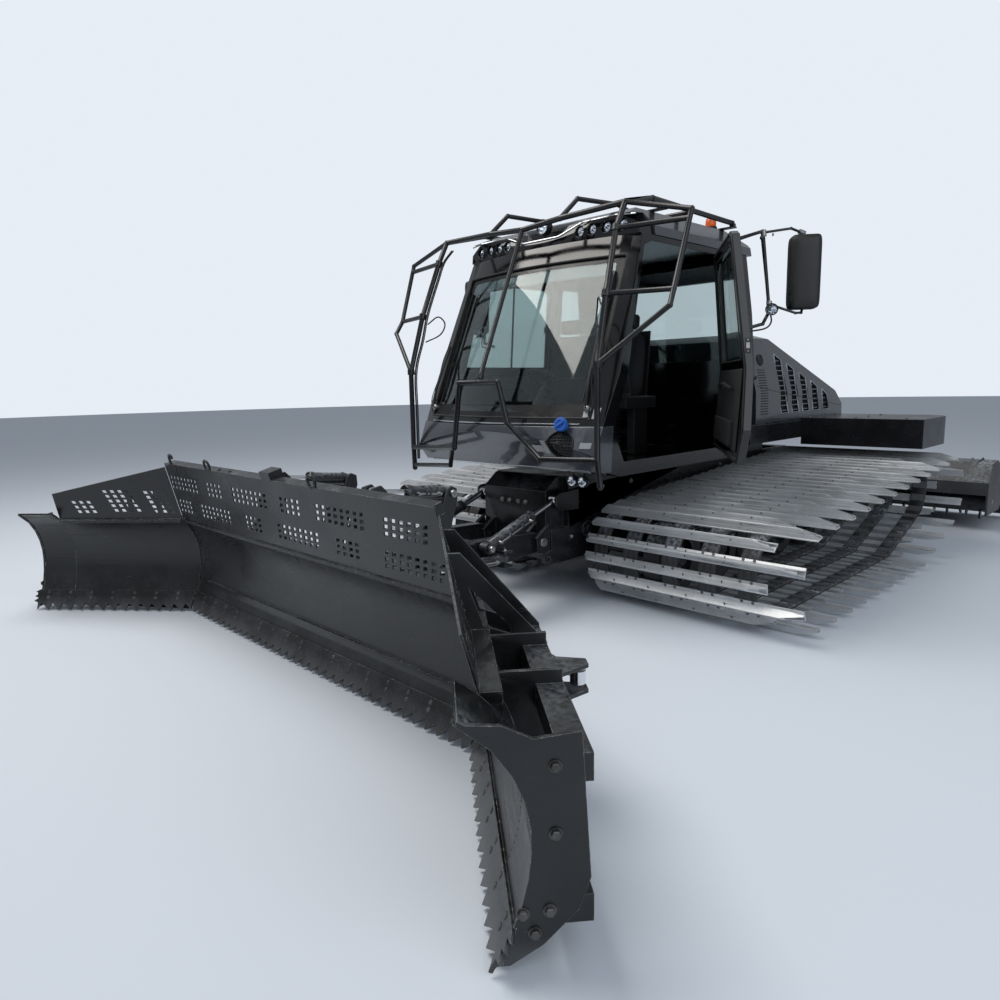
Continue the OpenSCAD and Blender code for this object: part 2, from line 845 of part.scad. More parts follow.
module lift_frame() {
    color(steel_black) {
        difference() {
            union() {
                both_sides() {
                    side_plate(250, 340)
                        polygon([[lift_x - 45, 470], [lift_x - 45, 570], [lift_x + 60, 600], [2450, 630], [2450, 400], [lift_x + 60, 440]]);
                    // Headed pins for the lift cylinders
                    pin_y(lift_eye[0], lift_eye[2], 330, cyl_y + 50, 22);
                    pin_y(lift_eye[0], lift_eye[2], cyl_y + 46, cyl_y + 60, 34);
                    // Ears for the angle cylinders
                    for (z = [angle_base[2] - 62, angle_base[2] + 44])
                        block([angle_base[0] - 40, 330, z], [angle_base[0] + 40, 475, z + 18]);
                    translate([angle_base[0], angle_base[1], angle_base[2] - 62])
                        cylinder(h = 124, r = 20);
                }
                block([2380, -340, 400], [2560, 340, 620]);
                // Fork round the swivel pin
                for (z = [330, 610])
                    translate([0, 0, z])
                        linear_extrude(height = 40)
                            polygon([[2500, -200], [2500, 200], [swivel_x + 20, 90], [swivel_x + 90, 40],
                                [swivel_x + 90, -40], [swivel_x + 20, -90]]);
                block([2480, -200, 330], [2560, 200, 650]);
                translate([swivel_x, 0, 325])
                    cylinder(h = 330, r = 45);
            }
            pin_y(lift_x, lift_z, -400, 400, 34 + pin_gap);
        }
    }
}

// Hydraulic cylinder's barrel: its eye is at p and its axis points to q
module barrel(p, q, r, len, eye_r, eye_w, across) {
    dir = (q - p) / norm(q - p);
    difference() {
        union() {
            rod(p + dir * eye_r * 1.2, p + dir * len, r);
            translate(p)
                rotate(across)
                    cylinder(h = eye_w, r = eye_r * 1.8, center = true);
        }
        translate(p)
            rotate(across)
                cylinder(h = eye_w + 4, r = eye_r + pin_gap, center = true);
        rod(p + dir * (eye_r * 1.8 + 40), p + dir * (len + 5), r * rod_ratio + rod_gap);
    }
}

// Rod with its eye at q; its hidden end lies inside the barrel, a length inner from p
module ram(p, q, r, inner, eye_r, eye_w, across) {
    dir = (p - q) / norm(p - q);
    rod(q + dir * eye_r, p - dir * inner, r * rod_ratio);
    translate(q)
        rotate(across)
            cylinder(h = eye_w, r = eye_r * 1.7, center = true);
}

rod_ratio = 0.54;
rod_gap = 0.6;
across_y = [90, 0, 0];
across_z = [0, 0, 0];

module lift_barrels() {
    color(steel_black)
        both_sides()
            barrel([lift_eye[0], cyl_y, lift_eye[2]], [lift_base[0], cyl_y, lift_base[2]], 44, 500, 22, 72, across_y);
}

module lift_rods() {
    color(silver)
        both_sides()
            ram([lift_eye[0], cyl_y, lift_eye[2]], [lift_base[0], cyl_y, lift_base[2]], 44, 330, 22, 60, across_y);
}

// Swivel head: turns about the upright pin and carries the tilt pin along X
tilt_z = 490;

module angle_head() {
    color(steel_black)
        difference() {
            union() {
                translate([swivel_x, 0, 376])
                    cylinder(h = 228, r = 95);
                block([swivel_x + 60, -80, 376], [2960, 80, 604]);
                block([2900, -420, 400], [2960, 420, 580]);
                pin_x(0, tilt_z, 2950, 3120, 55);
                // Ears for the rods of the angle cylinders
                both_sides()
                    for (z = [angle_eye[2] - 56, angle_eye[2] + 26])
                        block([angle_eye[0] - 40, angle_eye[1] - 40, z], [2905, angle_eye[1] + 40, z + 30]);
            }
            translate([swivel_x, 0, 300])
                cylinder(h = 400, r = 45 + pin_gap);
        }
}

angle_base = [2240, 430, 490];
angle_eye = [2840, 340, 490];

module angle_barrel_left() {
    color(steel_black)
        barrel(angle_base, angle_eye, 36, 390, 20, 44, across_z);
}

module angle_rod_left() {
    color(silver)
        ram(angle_base, angle_eye, 36, 205, 20, 40, across_z);
}

module angle_barrel_right() {
    mirror([0, 1, 0])
        angle_barrel_left();
}

module angle_rod_right() {
    mirror([0, 1, 0])
        angle_rod_left();
}

// Tilt head: rolls about the tilt pin and carries the blade on two pins along Y
pitch_x = 3330;
pitch_z = 300;
pitch_base = [2880, 0, 1060];
pitch_eye = [3420, 0, 1120];
pitch_y = 560;

module tilt_head() {
    color(steel_black)
        difference() {
            union() {
                pin_x(0, tilt_z, 2966, 3110, 100);
                block([3000, -626, 380], [3110, 626, 600]);
                both_sides()
                    side_plate(480, 560)
                        polygon([[3000, 400], [3110, 560], [pitch_x + 30, 350], [pitch_x + 45, 300], [pitch_x + 20, 260], [pitch_x - 40, 255]]);
                // Masts that lean back to the pitch cylinders
                both_sides() {
                    for (y = [pitch_y - 66, pitch_y + 50])
                        side_plate(y, y + 16)
                            polygon([[3000, 560], [3110, 560], [3110, 660], [2925, 1090], [2890, 1110], [2845, 1090], [2840, 1020]]);
                    pin_y(pitch_base[0], pitch_base[2], pitch_y - 66, pitch_y + 66, 22);
                    block([3000, pitch_y - 66, 560], [3110, pitch_y + 66, 640]);
                }
            }
            pin_x(0, tilt_z, 2900, 3200, 55 + pin_gap);
            pin_y(pitch_x, pitch_z, -700, 700, 30 + pin_gap);
        }
}

module pitch_barrels() {
    color(steel_black)
        both_sides()
            barrel([pitch_base[0], pitch_y, pitch_base[2]], [pitch_eye[0], pitch_y, pitch_eye[2]], 46, 330, 22, 68, across_y);
}

module pitch_rods() {
    color(silver)
        both_sides()
            ram([pitch_base[0], pitch_y, pitch_base[2]], [pitch_eye[0], pitch_y, pitch_eye[2]], 46, 190, 22, 60, across_y);
}

// Mouldboard: a curved plate, bent on a wide arc below its hollow and a tight one above
mould_t = 14;
hollow_x = blade_x - 105;
hollow_z = 430;
foot_z = 60;
low_r = 690;
high_r = 424;

// Front of the mouldboard at height z
function mould_x(z) = let (r = z < hollow_z ? low_r : high_r)
    hollow_x + r - sqrt(r * r - (z - hollow_z) * (z - hollow_z));

// Side view of the plate from height z0 to z1: points along the two arcs, t behind the front
plate_steps = 28;
function plate_line(z0, z1, t) = [for (i = [0 : plate_steps])
    let (z = z0 + (z1 - z0) * i / plate_steps, r = z < hollow_z ? low_r : high_r, a = asin((hollow_z - z) / r))
        [hollow_x + r - (r + t) * cos(a), hollow_z - (r + t) * sin(a)]];
function back_to_front(line) = [for (i = [len(line) - 1 : -1 : 0]) line[i]];

module mouldboard(y0, y1, z0 = foot_z, z1 = ridge_z) {
    side_plate(y0, y1)
        polygon(concat(plate_line(z0, z1, 0), back_to_front(plate_line(z0, z1, mould_t))));
}

// Outline of a rib behind the mouldboard, from z0 to z1 and back to x
function rib_outline(z0, z1, back) = concat(
    [for (i = [0 : 8]) let (z = z0 + (z1 - z0) * i / 8) [mould_x(z) - mould_t / 2, z]],
    [[back, z1], [back, z0]]);

// Toothed cutting edge between y0 and y1, leaning with the foot of the mouldboard
edge_lean = 27;
edge_mid_z = 110;
edge_x = mould_x(edge_mid_z) + 7 + edge_mid_z * tan(edge_lean);
tooth_tip = 13;
tooth_root = 66;
corner_out = 42;

module cutting_edge(y0, y1, corner_teeth = 0) {
    n = floor((y1 - y0) / tooth);
    pitch = (y1 - y0) / n;
    translate([edge_x, 0, 0])
        rotate([0, -edge_lean, 0])
            front_plate(-8, 8)
                polygon(concat([[y0, 175]],
                    [for (i = [0 : n - 1], k = [0 : 1]) k == 0 ? [y0 + i * pitch, tooth_tip] : [y0 + (i + 0.75) * pitch, tooth_root]],
                    [[y1, tooth_tip]], [for (i = [0 : corner_teeth - 1], k = [0 : 1])
                        [y1 + (k == 0 ? 5 : corner_out), tooth_root + 12 * k + i * 38]],
                    [[y1, 175]]));
}

// Fold between the centre part and a wing: an upright hinge behind the mouldboard's hollow,
// and a mitre plane that both parts keep clear of
fold_back = 160;
mitre_gap = 8;
wing_forward = 2;
mitre_turn = (wing_swing + wing_forward) / 2;
fold = [blade_x - fold_back, blade_half - fold_back * tan(wing_swing / 2)];
knuckle_r = 28;
fold_pin_r = 16;

module mitre(angle, side) {
    translate([fold[0], fold[1], 0])
        rotate([0, 0, angle])
            translate([-1500, side > 0 ? -mitre_gap / 2 : -3000 + mitre_gap / 2, -100])
                cube([3000, 3000, 2000]);
}

// Snow guard: a flat perforated plate leaning forward above the ridge
guard_lean = 15;
guard_t = 10;
guard_foot = [blade_x + 32, 762];

slot_pitch = 62;
slot_row = 40;
slot_slant = 14;
slot_shape = [[0, 0], [34, 0], [44, 24], [10, 24]];

module guard_plate(y0, y1, top0, top1, rows) {
    translate([guard_foot[0], 0, guard_foot[1]])
        rotate([0, guard_lean, 0])
            front_plate(-guard_t, 0)
                difference() {
                    polygon([[y0, 0], [y1, 0], [y1, top1], [y0, top0]]);
                    for (g = rows)
                        for (i = [0 : g[2] - 1], j = [0 : g[3] - 1])
                            translate([g[0] + i * slot_pitch + j * slot_slant, g[1] + j * slot_row])
                                polygon(slot_shape);
                }
}

// Groups of slots: first y, first height, columns, rows
guard_rows = [
    [-1600, 60, 4, 3], [-1200, 60, 8, 3], [-500, 60, 4, 3], [-60, 60, 8, 3], [600, 60, 4, 3], [1050, 60, 8, 3],
    [-1600, 250, 8, 3], [-960, 250, 4, 3], [-560, 250, 8, 3], [80, 250, 4, 3], [480, 250, 8, 3], [1120, 250, 6, 3]];

module snow_guard() {
    color(steel_black)
        difference() {
            union() {
                guard_plate(-blade_half - 100, blade_half + 100, guard_h, guard_h, guard_rows);
                translate([guard_foot[0], 0, guard_foot[1]])
                    rotate([0, guard_lean, 0])
                        block([-70, -1560, guard_h - 60], [-guard_t, 1560, guard_h]);
            }
            both_sides()
                mitre(-mitre_turn, 1);
        }
}

module blade_centre() {
    color(steel_black) {
        difference() {
            union() {
                mouldboard(-blade_half - 100, blade_half + 100);
                cutting_edge(-blade_half - 100, blade_half + 100);
                // Rear beams and ribs
                block([3440, -1560, 600], [3560, 1560, 720]);
                block([3440, -1560, 140], [3600, 1560, 260]);
                block([3620, -1600, 725], [guard_foot[0] - 4, 1600, guard_foot[1]]);
                for (y = [-1500, -900, -450, 430, 880, 1480])
                    side_plate(y, y + 20)
                        polygon(rib_outline(120, ridge_z - 8, 3470));
                // Ears for the pitch pins
                both_sides() {
                    for (y = [440, 572])
                        side_plate(y, y + 28)
                            polygon([[3500, 150], [pitch_x - 45, 250], [pitch_x - 50, 330], [pitch_x - 10, 360], [3500, 420]]);
                    pin_y(pitch_x, pitch_z, 440, 600, 30);
                }
                // Horns for the rods of the pitch cylinders
                both_sides() {
                    for (y = [pitch_y - 56, pitch_y + 38])
                        side_plate(y, y + 18)
                            polygon([[3470, 640], [3560, 640], [3600, 740], [3600, 900], [3470, 1160], [3410, 1170], [3370, 1130],
                                [3380, 1080], [3440, 900]]);
                }
                // Ears of the wing hinges and of the wing cylinders
                both_sides() {
                    for (z = [225, 600]) {
                        translate([fold[0], fold[1], z])
                            cylinder(h = 35, r = knuckle_r);
                        linear_plate(z, 35, [[3450, 1500], [3540, 1500], [fold[0] + knuckle_r, fold[1]],
                            [fold[0] - knuckle_r, fold[1]]]);
                    }
                    for (z = [wing_base[2] - 64, wing_base[2] + 46])
                        block([wing_base[0] - 45, wing_base[1] - 45, z], [3450, wing_base[1] + 45, z + 18]);
                    block([3440, wing_base[1] - 45, wing_base[2] - 64], [3560, wing_base[1] + 45, wing_base[2] + 64]);
                    translate([wing_base[0], wing_base[1], wing_base[2] - 64])
                        cylinder(h = 128, r = 20);
                }
            }
            both_sides()
                mitre(-mitre_turn, 1);
            both_sides()
                translate([fold[0], fold[1], 261])
                    cylinder(h = 338, r = knuckle_r + 8);
        }
        both_sides()
            translate([fold[0], fold[1], 230])
                cylinder(h = 400, r = fold_pin_r);
    }
}

// A wing in line with the centre part, before it is swung forward
horn_z = 800;
horn_len = 285;
guard_end_h = 205;
wing_beam = [3385, 3485];

// Gusset behind the wing's guard, from its back down to the rear beam; h is its height there
module guard_gusset(y, h) {
    lean = tan(guard_lean);
    side_plate(y, y + 16)
        difference() {
            polygon([[guard_foot[0] - guard_t, guard_foot[1] - 20], [guard_foot[0] - guard_t + h * lean, guard_foot[1] + h],
                [guard_foot[0] - 60 + h * lean, guard_foot[1] + h], [wing_beam[0], 700], [wing_beam[0], 650], [wing_beam[1], 650]]);
            polygon([[guard_foot[0] - 60, guard_foot[1] + 20], [guard_foot[0] - 50 + h * lean * 0.5, guard_foot[1] + h * 0.55],
                [3540, 780], [3530, 740]]);
        }
}

module wing_straight() {
    end = blade_half + wing_len;
    difference() {
        union() {
            mouldboard(blade_half - 100, end - horn_len);
            // Horn: the upper arc runs on at the outer end
            mouldboard(end - horn_len, end, foot_z, horn_z);
            cutting_edge(blade_half - 100, end, 3);
            block([3620, blade_half + 40, 722], [guard_foot[0] - 2, end - horn_len, guard_foot[1] + 4]);
            guard_plate(blade_half - 100, end - horn_len, guard_h, guard_end_h, [
                [blade_half + 60, 40, 3, 5], [blade_half + 330, 50, 4, 5], [blade_half + 700, 40, 3, 3]]);
            block([wing_beam[0], blade_half + 160, 600], [wing_beam[1], end - 8, 690]);
            block([wing_beam[0], blade_half + 160, 150], [wing_beam[1], end - 8, 240]);
            // End plate: its front edge follows the mouldboard
            side_plate(end - 16, end)
                polygon(concat([[edge_x - 10, 30], [mould_x(60) + 12, 60]],
                    [for (i = [1 : 9]) let (z = 60 + (horn_z - 60) * i / 9) [mould_x(z) + 6, z]],
                    [[blade_x - 20, 790], [3560, 745], [3420, 760], [3395, 300], [3430, 200], [3540, 90], [3640, 30]]));
            for (y = [blade_half + 420, blade_half + 800])
                side_plate(y, y + 20)
                    polygon(rib_outline(120, ridge_z - 8, wing_beam[0] + 5));
            guard_gusset(blade_half + 190, 370);
            guard_gusset(blade_half + 420, 320);
            // Ears for the wing cylinder's rod
            for (z = [wing_base[2] - 64, wing_base[2] + 46])
                linear_plate(z, 18, [[wing_eye_straight[0] - 40, wing_eye_straight[1] - 30],
                    [wing_eye_straight[0] - 40, wing_eye_straight[1] + 30], [wing_beam[0] + 5, wing_eye_straight[1] + 150],
                    [wing_beam[0] + 5, wing_eye_straight[1] - 90]]);
            block([wing_beam[0], wing_eye_straight[1] - 90, wing_base[2] - 64],
                [wing_beam[1], wing_eye_straight[1] + 150, wing_base[2] + 64]);
        }
        mitre(mitre_turn, -1);
    }
    // Hinge tube and the web that joins it to the rear beams
    difference() {
        union() {
            translate([fold[0], fold[1], 266])
                cylinder(h = 328, r = knuckle_r);
            block([fold[0] - 14, fold[1] + 10, 270], [fold[0] + 14, blade_half + 200, 590]);
            block([wing_beam[0], blade_half + 160, 200], [fold[0] + 14, blade_half + 190, 620]);
        }
        translate([fold[0], fold[1], 200])
            cylinder(h = 460, r = fold_pin_r + pin_gap);
    }
}

module wing_turned() {
    translate([fold[0], fold[1], 0])
        rotate([0, 0, -wing_swing])
            translate([-fold[0], -fold[1], 0])
                children();
}

module wing_left() {
    color(steel_black)
        wing_turned()
            wing_straight();
}

module wing_right() {
    color(steel_black)
        mirror([0, 1, 0])
            wing_turned()
                wing_straight();
}

wing_base = [3200, 1010, 523];
wing_eye_straight = [3250, blade_half + 380, 523];
function turned(p, c, a) = let (d = p - c)
    [c[0] + d[0] * cos(a) - d[1] * sin(a), c[1] + d[0] * sin(a) + d[1] * cos(a), p[2]];
wing_eye = turned(wing_eye_straight, [fold[0], fold[1], 0], -wing_swing);

module wing_barrel_left() {
    color(steel_black)
        barrel(wing_base, wing_eye, 38, 700, 20, 60, across_z);
}

module wing_rod_left() {
    color(silver)
        ram(wing_base, wing_eye, 38, 330, 20, 56, across_z);
}

module wing_barrel_right() {
    mirror([0, 1, 0])
        wing_barrel_left();
}

module wing_rod_right() {
    mirror([0, 1, 0])
        wing_rod_left();
}

// Tiller lift at the rear
rear_pivot = [-2480, 630];
rear_base = [-2480, 0, 910];
rear_eye = [-3050, 0, 640];
tilt_pin = [-3240, 480];

module rear_lift() {
    color(steel_black)
        difference() {
            union() {
                both_sides()
                    side_plate(275, 365)
                        polygon([[rear_pivot[0] + 45, 600], [rear_pivot[0] + 45, 670], [rear_pivot[0] - 60, 700],
                            [-3130, 560], [-3130, 420], [-2700, 470]]);
                block([-3130, -365, 420], [-3020, 365, 560]);
                for (y = [-62, 42])
                    side_plate(y, y + 20)
                        polygon([[-3000, 520], [-3110, 520], [-3090, 690], [-3010, 690]]);
                pin_x(0, tilt_pin[1], -3300, -3100, 50);
            }
            pin_y(rear_pivot[0], rear_pivot[1], -500, 500, 30 + pin_gap);
        }
}

module rear_barrels() {
    color(steel_black)
        barrel(rear_base, rear_eye, 42, 400, 22, 72, across_y);
}

module rear_rods() {
    color(silver)
        ram(rear_base, rear_eye, 42, 235, 22, 60, across_y);
}

module tiller_hood() {
    color(paint_grey)
        difference() {
            union() {
                side_plate(-tiller_half, tiller_half)
                    polygon([[-3330, 420], [-3330, 560], [-3450, 760], [-3700, 780], [-4050, 600], [-4150, 420],
                        [-4130, 410], [-4040, 580], [-3695, 758], [-3460, 740], [-3350, 555], [-3350, 420]]);
                both_sides()
                    side_plate(tiller_half - 20, tiller_half)
                        polygon([[-3330, 200], [-3330, 560], [-3450, 760], [-3700, 780], [-4050, 600], [-4150, 420], [-3900, 200]]);
                block([-3350, -400, 400], [-3310, 400, 620]);
                pin_x(0, tilt_pin[1], -3330, -3150, 95);
            }
            pin_x(0, tilt_pin[1], -3305, -3000, 50 + pin_gap);
            pin_y(rotor_x, rotor_z, -tiller_half - 50, tiller_half + 50, 30.1);
        }
}

module tiller_rotor() {
    color(steel_black) {
        pin_y(rotor_x, rotor_z, -tiller_half, tiller_half, 30);
        pin_y(rotor_x, rotor_z, -tiller_half + 40, tiller_half - 40, 110);
        for (i = [0 : 39])
            translate([rotor_x, -tiller_half + 100 + i * (2 * tiller_half - 200) / 39, rotor_z])
                for (a = [0 : 120 : 240])
                    rotate([0, a + i * 35, 0])
                        block([-20, -10, 90], [20, 10, 200]);
    }
}

module finisher() {
    color(rubber)
        side_plate(-tiller_half, tiller_half)
            polygon([[-4152, 420], [-4140, 400], [-4300, 200], [rear_x, 40], [rear_x, 60], [-4310, 220]]);
}

chassis_frame();
wheel_arms();
wheel_rims();
wheel_tyres();
track_left();
track_right();
engine_block();
rear_deck();
cab_shell();
cab_panels();
cab_lamps();
cab_glass();
guard_cage();
seats();
console();
engine_hood();
door_left();
door_left_glass();
door_right();
door_right_glass();
lift_frame();
lift_barrels();
lift_rods();
angle_head();
angle_barrel_left();
angle_rod_left();
angle_barrel_right();
angle_rod_right();
tilt_head();
pitch_barrels();
pitch_rods();
blade_centre();
snow_guard();
wing_left();
wing_right();
wing_barrel_left();
wing_rod_left();
wing_barrel_right();
wing_rod_right();
rear_lift();
rear_barrels();
rear_rods();
tiller_hood();
tiller_rotor();
finisher();
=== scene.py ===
import json
import math

import bmesh
import bpy
import numpy as np
from mathutils import Matrix, Vector


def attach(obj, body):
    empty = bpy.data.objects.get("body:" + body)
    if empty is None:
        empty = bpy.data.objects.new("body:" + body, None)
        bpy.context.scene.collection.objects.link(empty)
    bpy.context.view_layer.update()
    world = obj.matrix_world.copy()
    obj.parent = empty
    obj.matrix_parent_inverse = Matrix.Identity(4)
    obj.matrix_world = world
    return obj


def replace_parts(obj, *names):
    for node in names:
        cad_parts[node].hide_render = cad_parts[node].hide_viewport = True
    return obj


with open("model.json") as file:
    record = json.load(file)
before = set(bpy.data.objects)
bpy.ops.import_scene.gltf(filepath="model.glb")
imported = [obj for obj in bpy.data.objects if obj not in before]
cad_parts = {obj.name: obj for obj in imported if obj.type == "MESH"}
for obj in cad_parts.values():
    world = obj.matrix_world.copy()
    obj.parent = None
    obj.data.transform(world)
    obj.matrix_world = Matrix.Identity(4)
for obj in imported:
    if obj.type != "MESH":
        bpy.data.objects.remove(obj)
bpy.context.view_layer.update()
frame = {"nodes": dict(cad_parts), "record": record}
nodes = frame["nodes"]

# Studio: the camera stands where the photographer stood, beside the left end of the blade, over a plain
# pale floor that keeps the machine's shadow, under two soft lamps and a pale sky.

eye = Vector((5.8178, 4.0300, 1.7362))
yaw, pitch, roll = math.radians(225.4398), math.radians(-9.1639), math.radians(-1.2461)
ahead = Vector((math.cos(yaw) * math.cos(pitch), math.sin(yaw) * math.cos(pitch), math.sin(pitch)))
aside = ahead.cross(Vector((0, 0, 1))).normalized()
above = aside.cross(ahead)
right = aside * math.cos(roll) + above * math.sin(roll)
up = above * math.cos(roll) - aside * math.sin(roll)
optics = bpy.data.cameras.new("photo_camera")
optics.sensor_width = 36.0
optics.lens = 26.006
optics.clip_start = 0.05
optics.clip_end = 200.0
camera = bpy.data.objects.new("photo_camera", optics)
turn = Matrix((right, up, -ahead)).transposed().to_4x4()
camera.matrix_world = Matrix.Translation(eye) @ turn
bpy.context.scene.collection.objects.link(camera)
bpy.context.scene.camera = camera
bpy.context.scene.view_settings.view_transform = "Standard"


def feed(node, inputs):
    """Gives a node's inputs, by name or number, their values, or links them to other nodes' outputs."""
    for key, value in inputs.items():
        if isinstance(value, bpy.types.NodeSocket):
            node.id_data.links.new(value, node.inputs[key])
        else:
            node.inputs[key].default_value = value
    return node


def wired(tree, kind, inputs, **settings):
    """New node of the tree with those settings and fed inputs."""
    node = tree.nodes.new(kind)
    for key, value in settings.items():
        setattr(node, key, value)
    return feed(node, inputs)


def node_material(name):
    """A new node material, its tree and its surface shader."""
    mat = bpy.data.materials.new(name)
    mat.use_nodes = True
    return mat, mat.node_tree, next(n for n in mat.node_tree.nodes if n.type == "BSDF_PRINCIPLED")


def circle(count):
    """That many angles evenly round a circle, from 0 on."""
    return np.linspace(0, 2 * np.pi, count, endpoint=False)


def xyz(x, y, z):
    """Points from their coordinates, each an array or one number for all."""
    return np.stack(np.broadcast_arrays(x, y, z), -1)


def sky_and_floor():
    """Pale sky for camera and transmitted rays, dimmer as light on the machine; a wide disc below."""
    world = bpy.data.worlds.new("pale_sky")
    bpy.context.scene.world = world
    world.use_nodes = True
    tree = world.node_tree
    seen = wired(tree, "ShaderNodeBackground", {"Color": (0.80, 0.85, 0.92, 1), "Strength": 1.0})
    back = feed(tree.nodes["Background"], {"Color": (0.86, 0.92, 1.0, 1), "Strength": 0.34})
    path = wired(tree, "ShaderNodeLightPath", {}).outputs
    either = wired(tree, "ShaderNodeMath", {0: path["Is Camera Ray"], 1: path["Is Transmission Ray"]},
                   operation="MAXIMUM")
    mix = wired(tree, "ShaderNodeMixShader",
                {"Fac": either.outputs[0], 1: back.outputs[0], 2: seen.outputs[0]})
    feed(tree.nodes["World Output"], {"Surface": mix.outputs[0]})
    radius, count = 60.0, 96
    turn_at = circle(count)
    rim = xyz(radius * np.cos(turn_at), radius * np.sin(turn_at), 0.0)
    mesh = bpy.data.meshes.new("floor")
    mesh.from_pydata(rim.tolist(), [], [list(range(count))])
    floor = bpy.data.objects.new("floor", mesh)
    bpy.context.scene.collection.objects.link(floor)
    mat, tree, shader = node_material("pale_floor")
    feed(shader, {"Base Color": (0.72, 0.77, 0.84, 1), "Roughness": 0.85, "Specular IOR Level": 0.2})
    mesh.materials.append(mat)


sky_and_floor()
lit_point = Vector((0.5, 0.0, 1.0))
for name, size, power, colour, place in (("key_lamp", 7.0, 760.0, (1.0, 0.97, 0.92), (4.5, -3.0, 10.0)),
                                         ("fill_lamp", 9.0, 300.0, (0.88, 0.94, 1.0), (4.0, 9.0, 6.0))):
    light = bpy.data.lights.new(name, "AREA")
    light.size = size
    light.energy = power
    light.color = colour
    holder = bpy.data.objects.new(name, light)
    facing = (lit_point - Vector(place)).to_track_quat("-Z", "Y")
    holder.matrix_world = Matrix.Translation(place) @ facing.to_matrix().to_4x4()
    bpy.context.scene.collection.objects.link(holder)

# Chassis: a welded steel tub between the tracks with forked lugs for the blade and the tiller, painted
# semi-gloss black. Its edges are ground a little round and show worn paint; hexagon bolts and pin heads are
# turned shapes set on it.


def shader_group(name, inputs, outputs):
    """Empty shader group with named inputs (label, value) and outputs (labels), all single numbers."""
    tree = bpy.data.node_groups.new(name, "ShaderNodeTree")
    for label, value in inputs:
        socket = tree.interface.new_socket(name=label, in_out="INPUT", socket_type="NodeSocketFloat")
        socket.default_value = value
    for label in outputs:
        tree.interface.new_socket(name=label, in_out="OUTPUT", socket_type="NodeSocketFloat")
    return tree, tree.nodes.new("NodeGroupInput").outputs, tree.nodes.new("NodeGroupOutput")


def spread(tree, source, low, high, to_low=0.0, to_high=1.0):
    """Map Range node that takes source from low..high to to_low..to_high, held inside those ends."""
    ends = {"Value": source, "From Min": low, "From Max": high, "To Min": to_low, "To Max": to_high}
    return wired(tree, "ShaderNodeMapRange", ends).outputs["Result"]


def product(tree, a, b):
    """Math node that multiplies two outputs."""
    return wired(tree, "ShaderNodeMath", {0: a, 1: b}, operation="MULTIPLY").outputs[0]


def noise(tree, where, scale, detail, rough=0.5):
    """Noise texture read at the vector where."""
    inputs = {"Vector": where, "Scale": scale, "Detail": detail, "Roughness": rough}
    return wired(tree, "ShaderNodeTexNoise", inputs).outputs["Fac"]


# Weather on paint and metal: Blotch is slow cloudy noise, Frost is where rime settles on faces that look
# up, Grain is the height of the paint's orange peel or the casting's skin, and Height is the place's own Z.
WEATHER, given, result = shader_group(
    "weather", (("Scale", 3.0), ("Settle", 0.5), ("Grain Scale", 400.0)),
    ("Blotch", "Frost", "Grain", "Height"))
coords = wired(WEATHER, "ShaderNodeTexCoord", {}).outputs
cloud = noise(WEATHER, coords["Object"], given["Scale"], 7.0, 0.62)
speck = noise(WEATHER, coords["Object"], 45.0, 4.0)
facing = wired(WEATHER, "ShaderNodeSeparateXYZ", {0: coords["Normal"]}).outputs
height = wired(WEATHER, "ShaderNodeSeparateXYZ", {0: coords["Object"]}).outputs
settled = product(WEATHER, spread(WEATHER, facing["Z"], 0.15, 0.95), spread(WEATHER, cloud, 0.42, 0.66))
settled = product(WEATHER, settled, spread(WEATHER, speck, 0.38, 0.60))
feed(result, {"Blotch": spread(WEATHER, cloud, 0.38, 0.66),
              "Frost": product(WEATHER, settled, given["Settle"]),
              "Grain": noise(WEATHER, coords["Object"], given["Grain Scale"], 2.0), "Height": height["Z"]})

# Rubbed streaks: noise stretched along one direction and cut at a level; the scales say how fine it is
# along X, Y, Z.
RUBBED = ("X Scale", "Y Scale", "Z Scale", "Level")
STREAKS, given, result = shader_group("streaks", zip(RUBBED, (3.0, 3.0, 60.0, 0.62)), ("Mask",))
coords = wired(STREAKS, "ShaderNodeTexCoord", {}).outputs
scales = wired(STREAKS, "ShaderNodeCombineXYZ", {k: given[k] for k in range(3)}).outputs[0]
stretched = wired(STREAKS, "ShaderNodeVectorMath", {0: coords["Object"], 1: scales},
                  operation="MULTIPLY").outputs[0]
over = wired(STREAKS, "ShaderNodeMath", {0: noise(STREAKS, stretched, 1.0, 6.0, 0.7), 1: given["Level"]},
             operation="SUBTRACT").outputs[0]
feed(result, {"Mask": spread(STREAKS, over, 0.0, 0.05)})


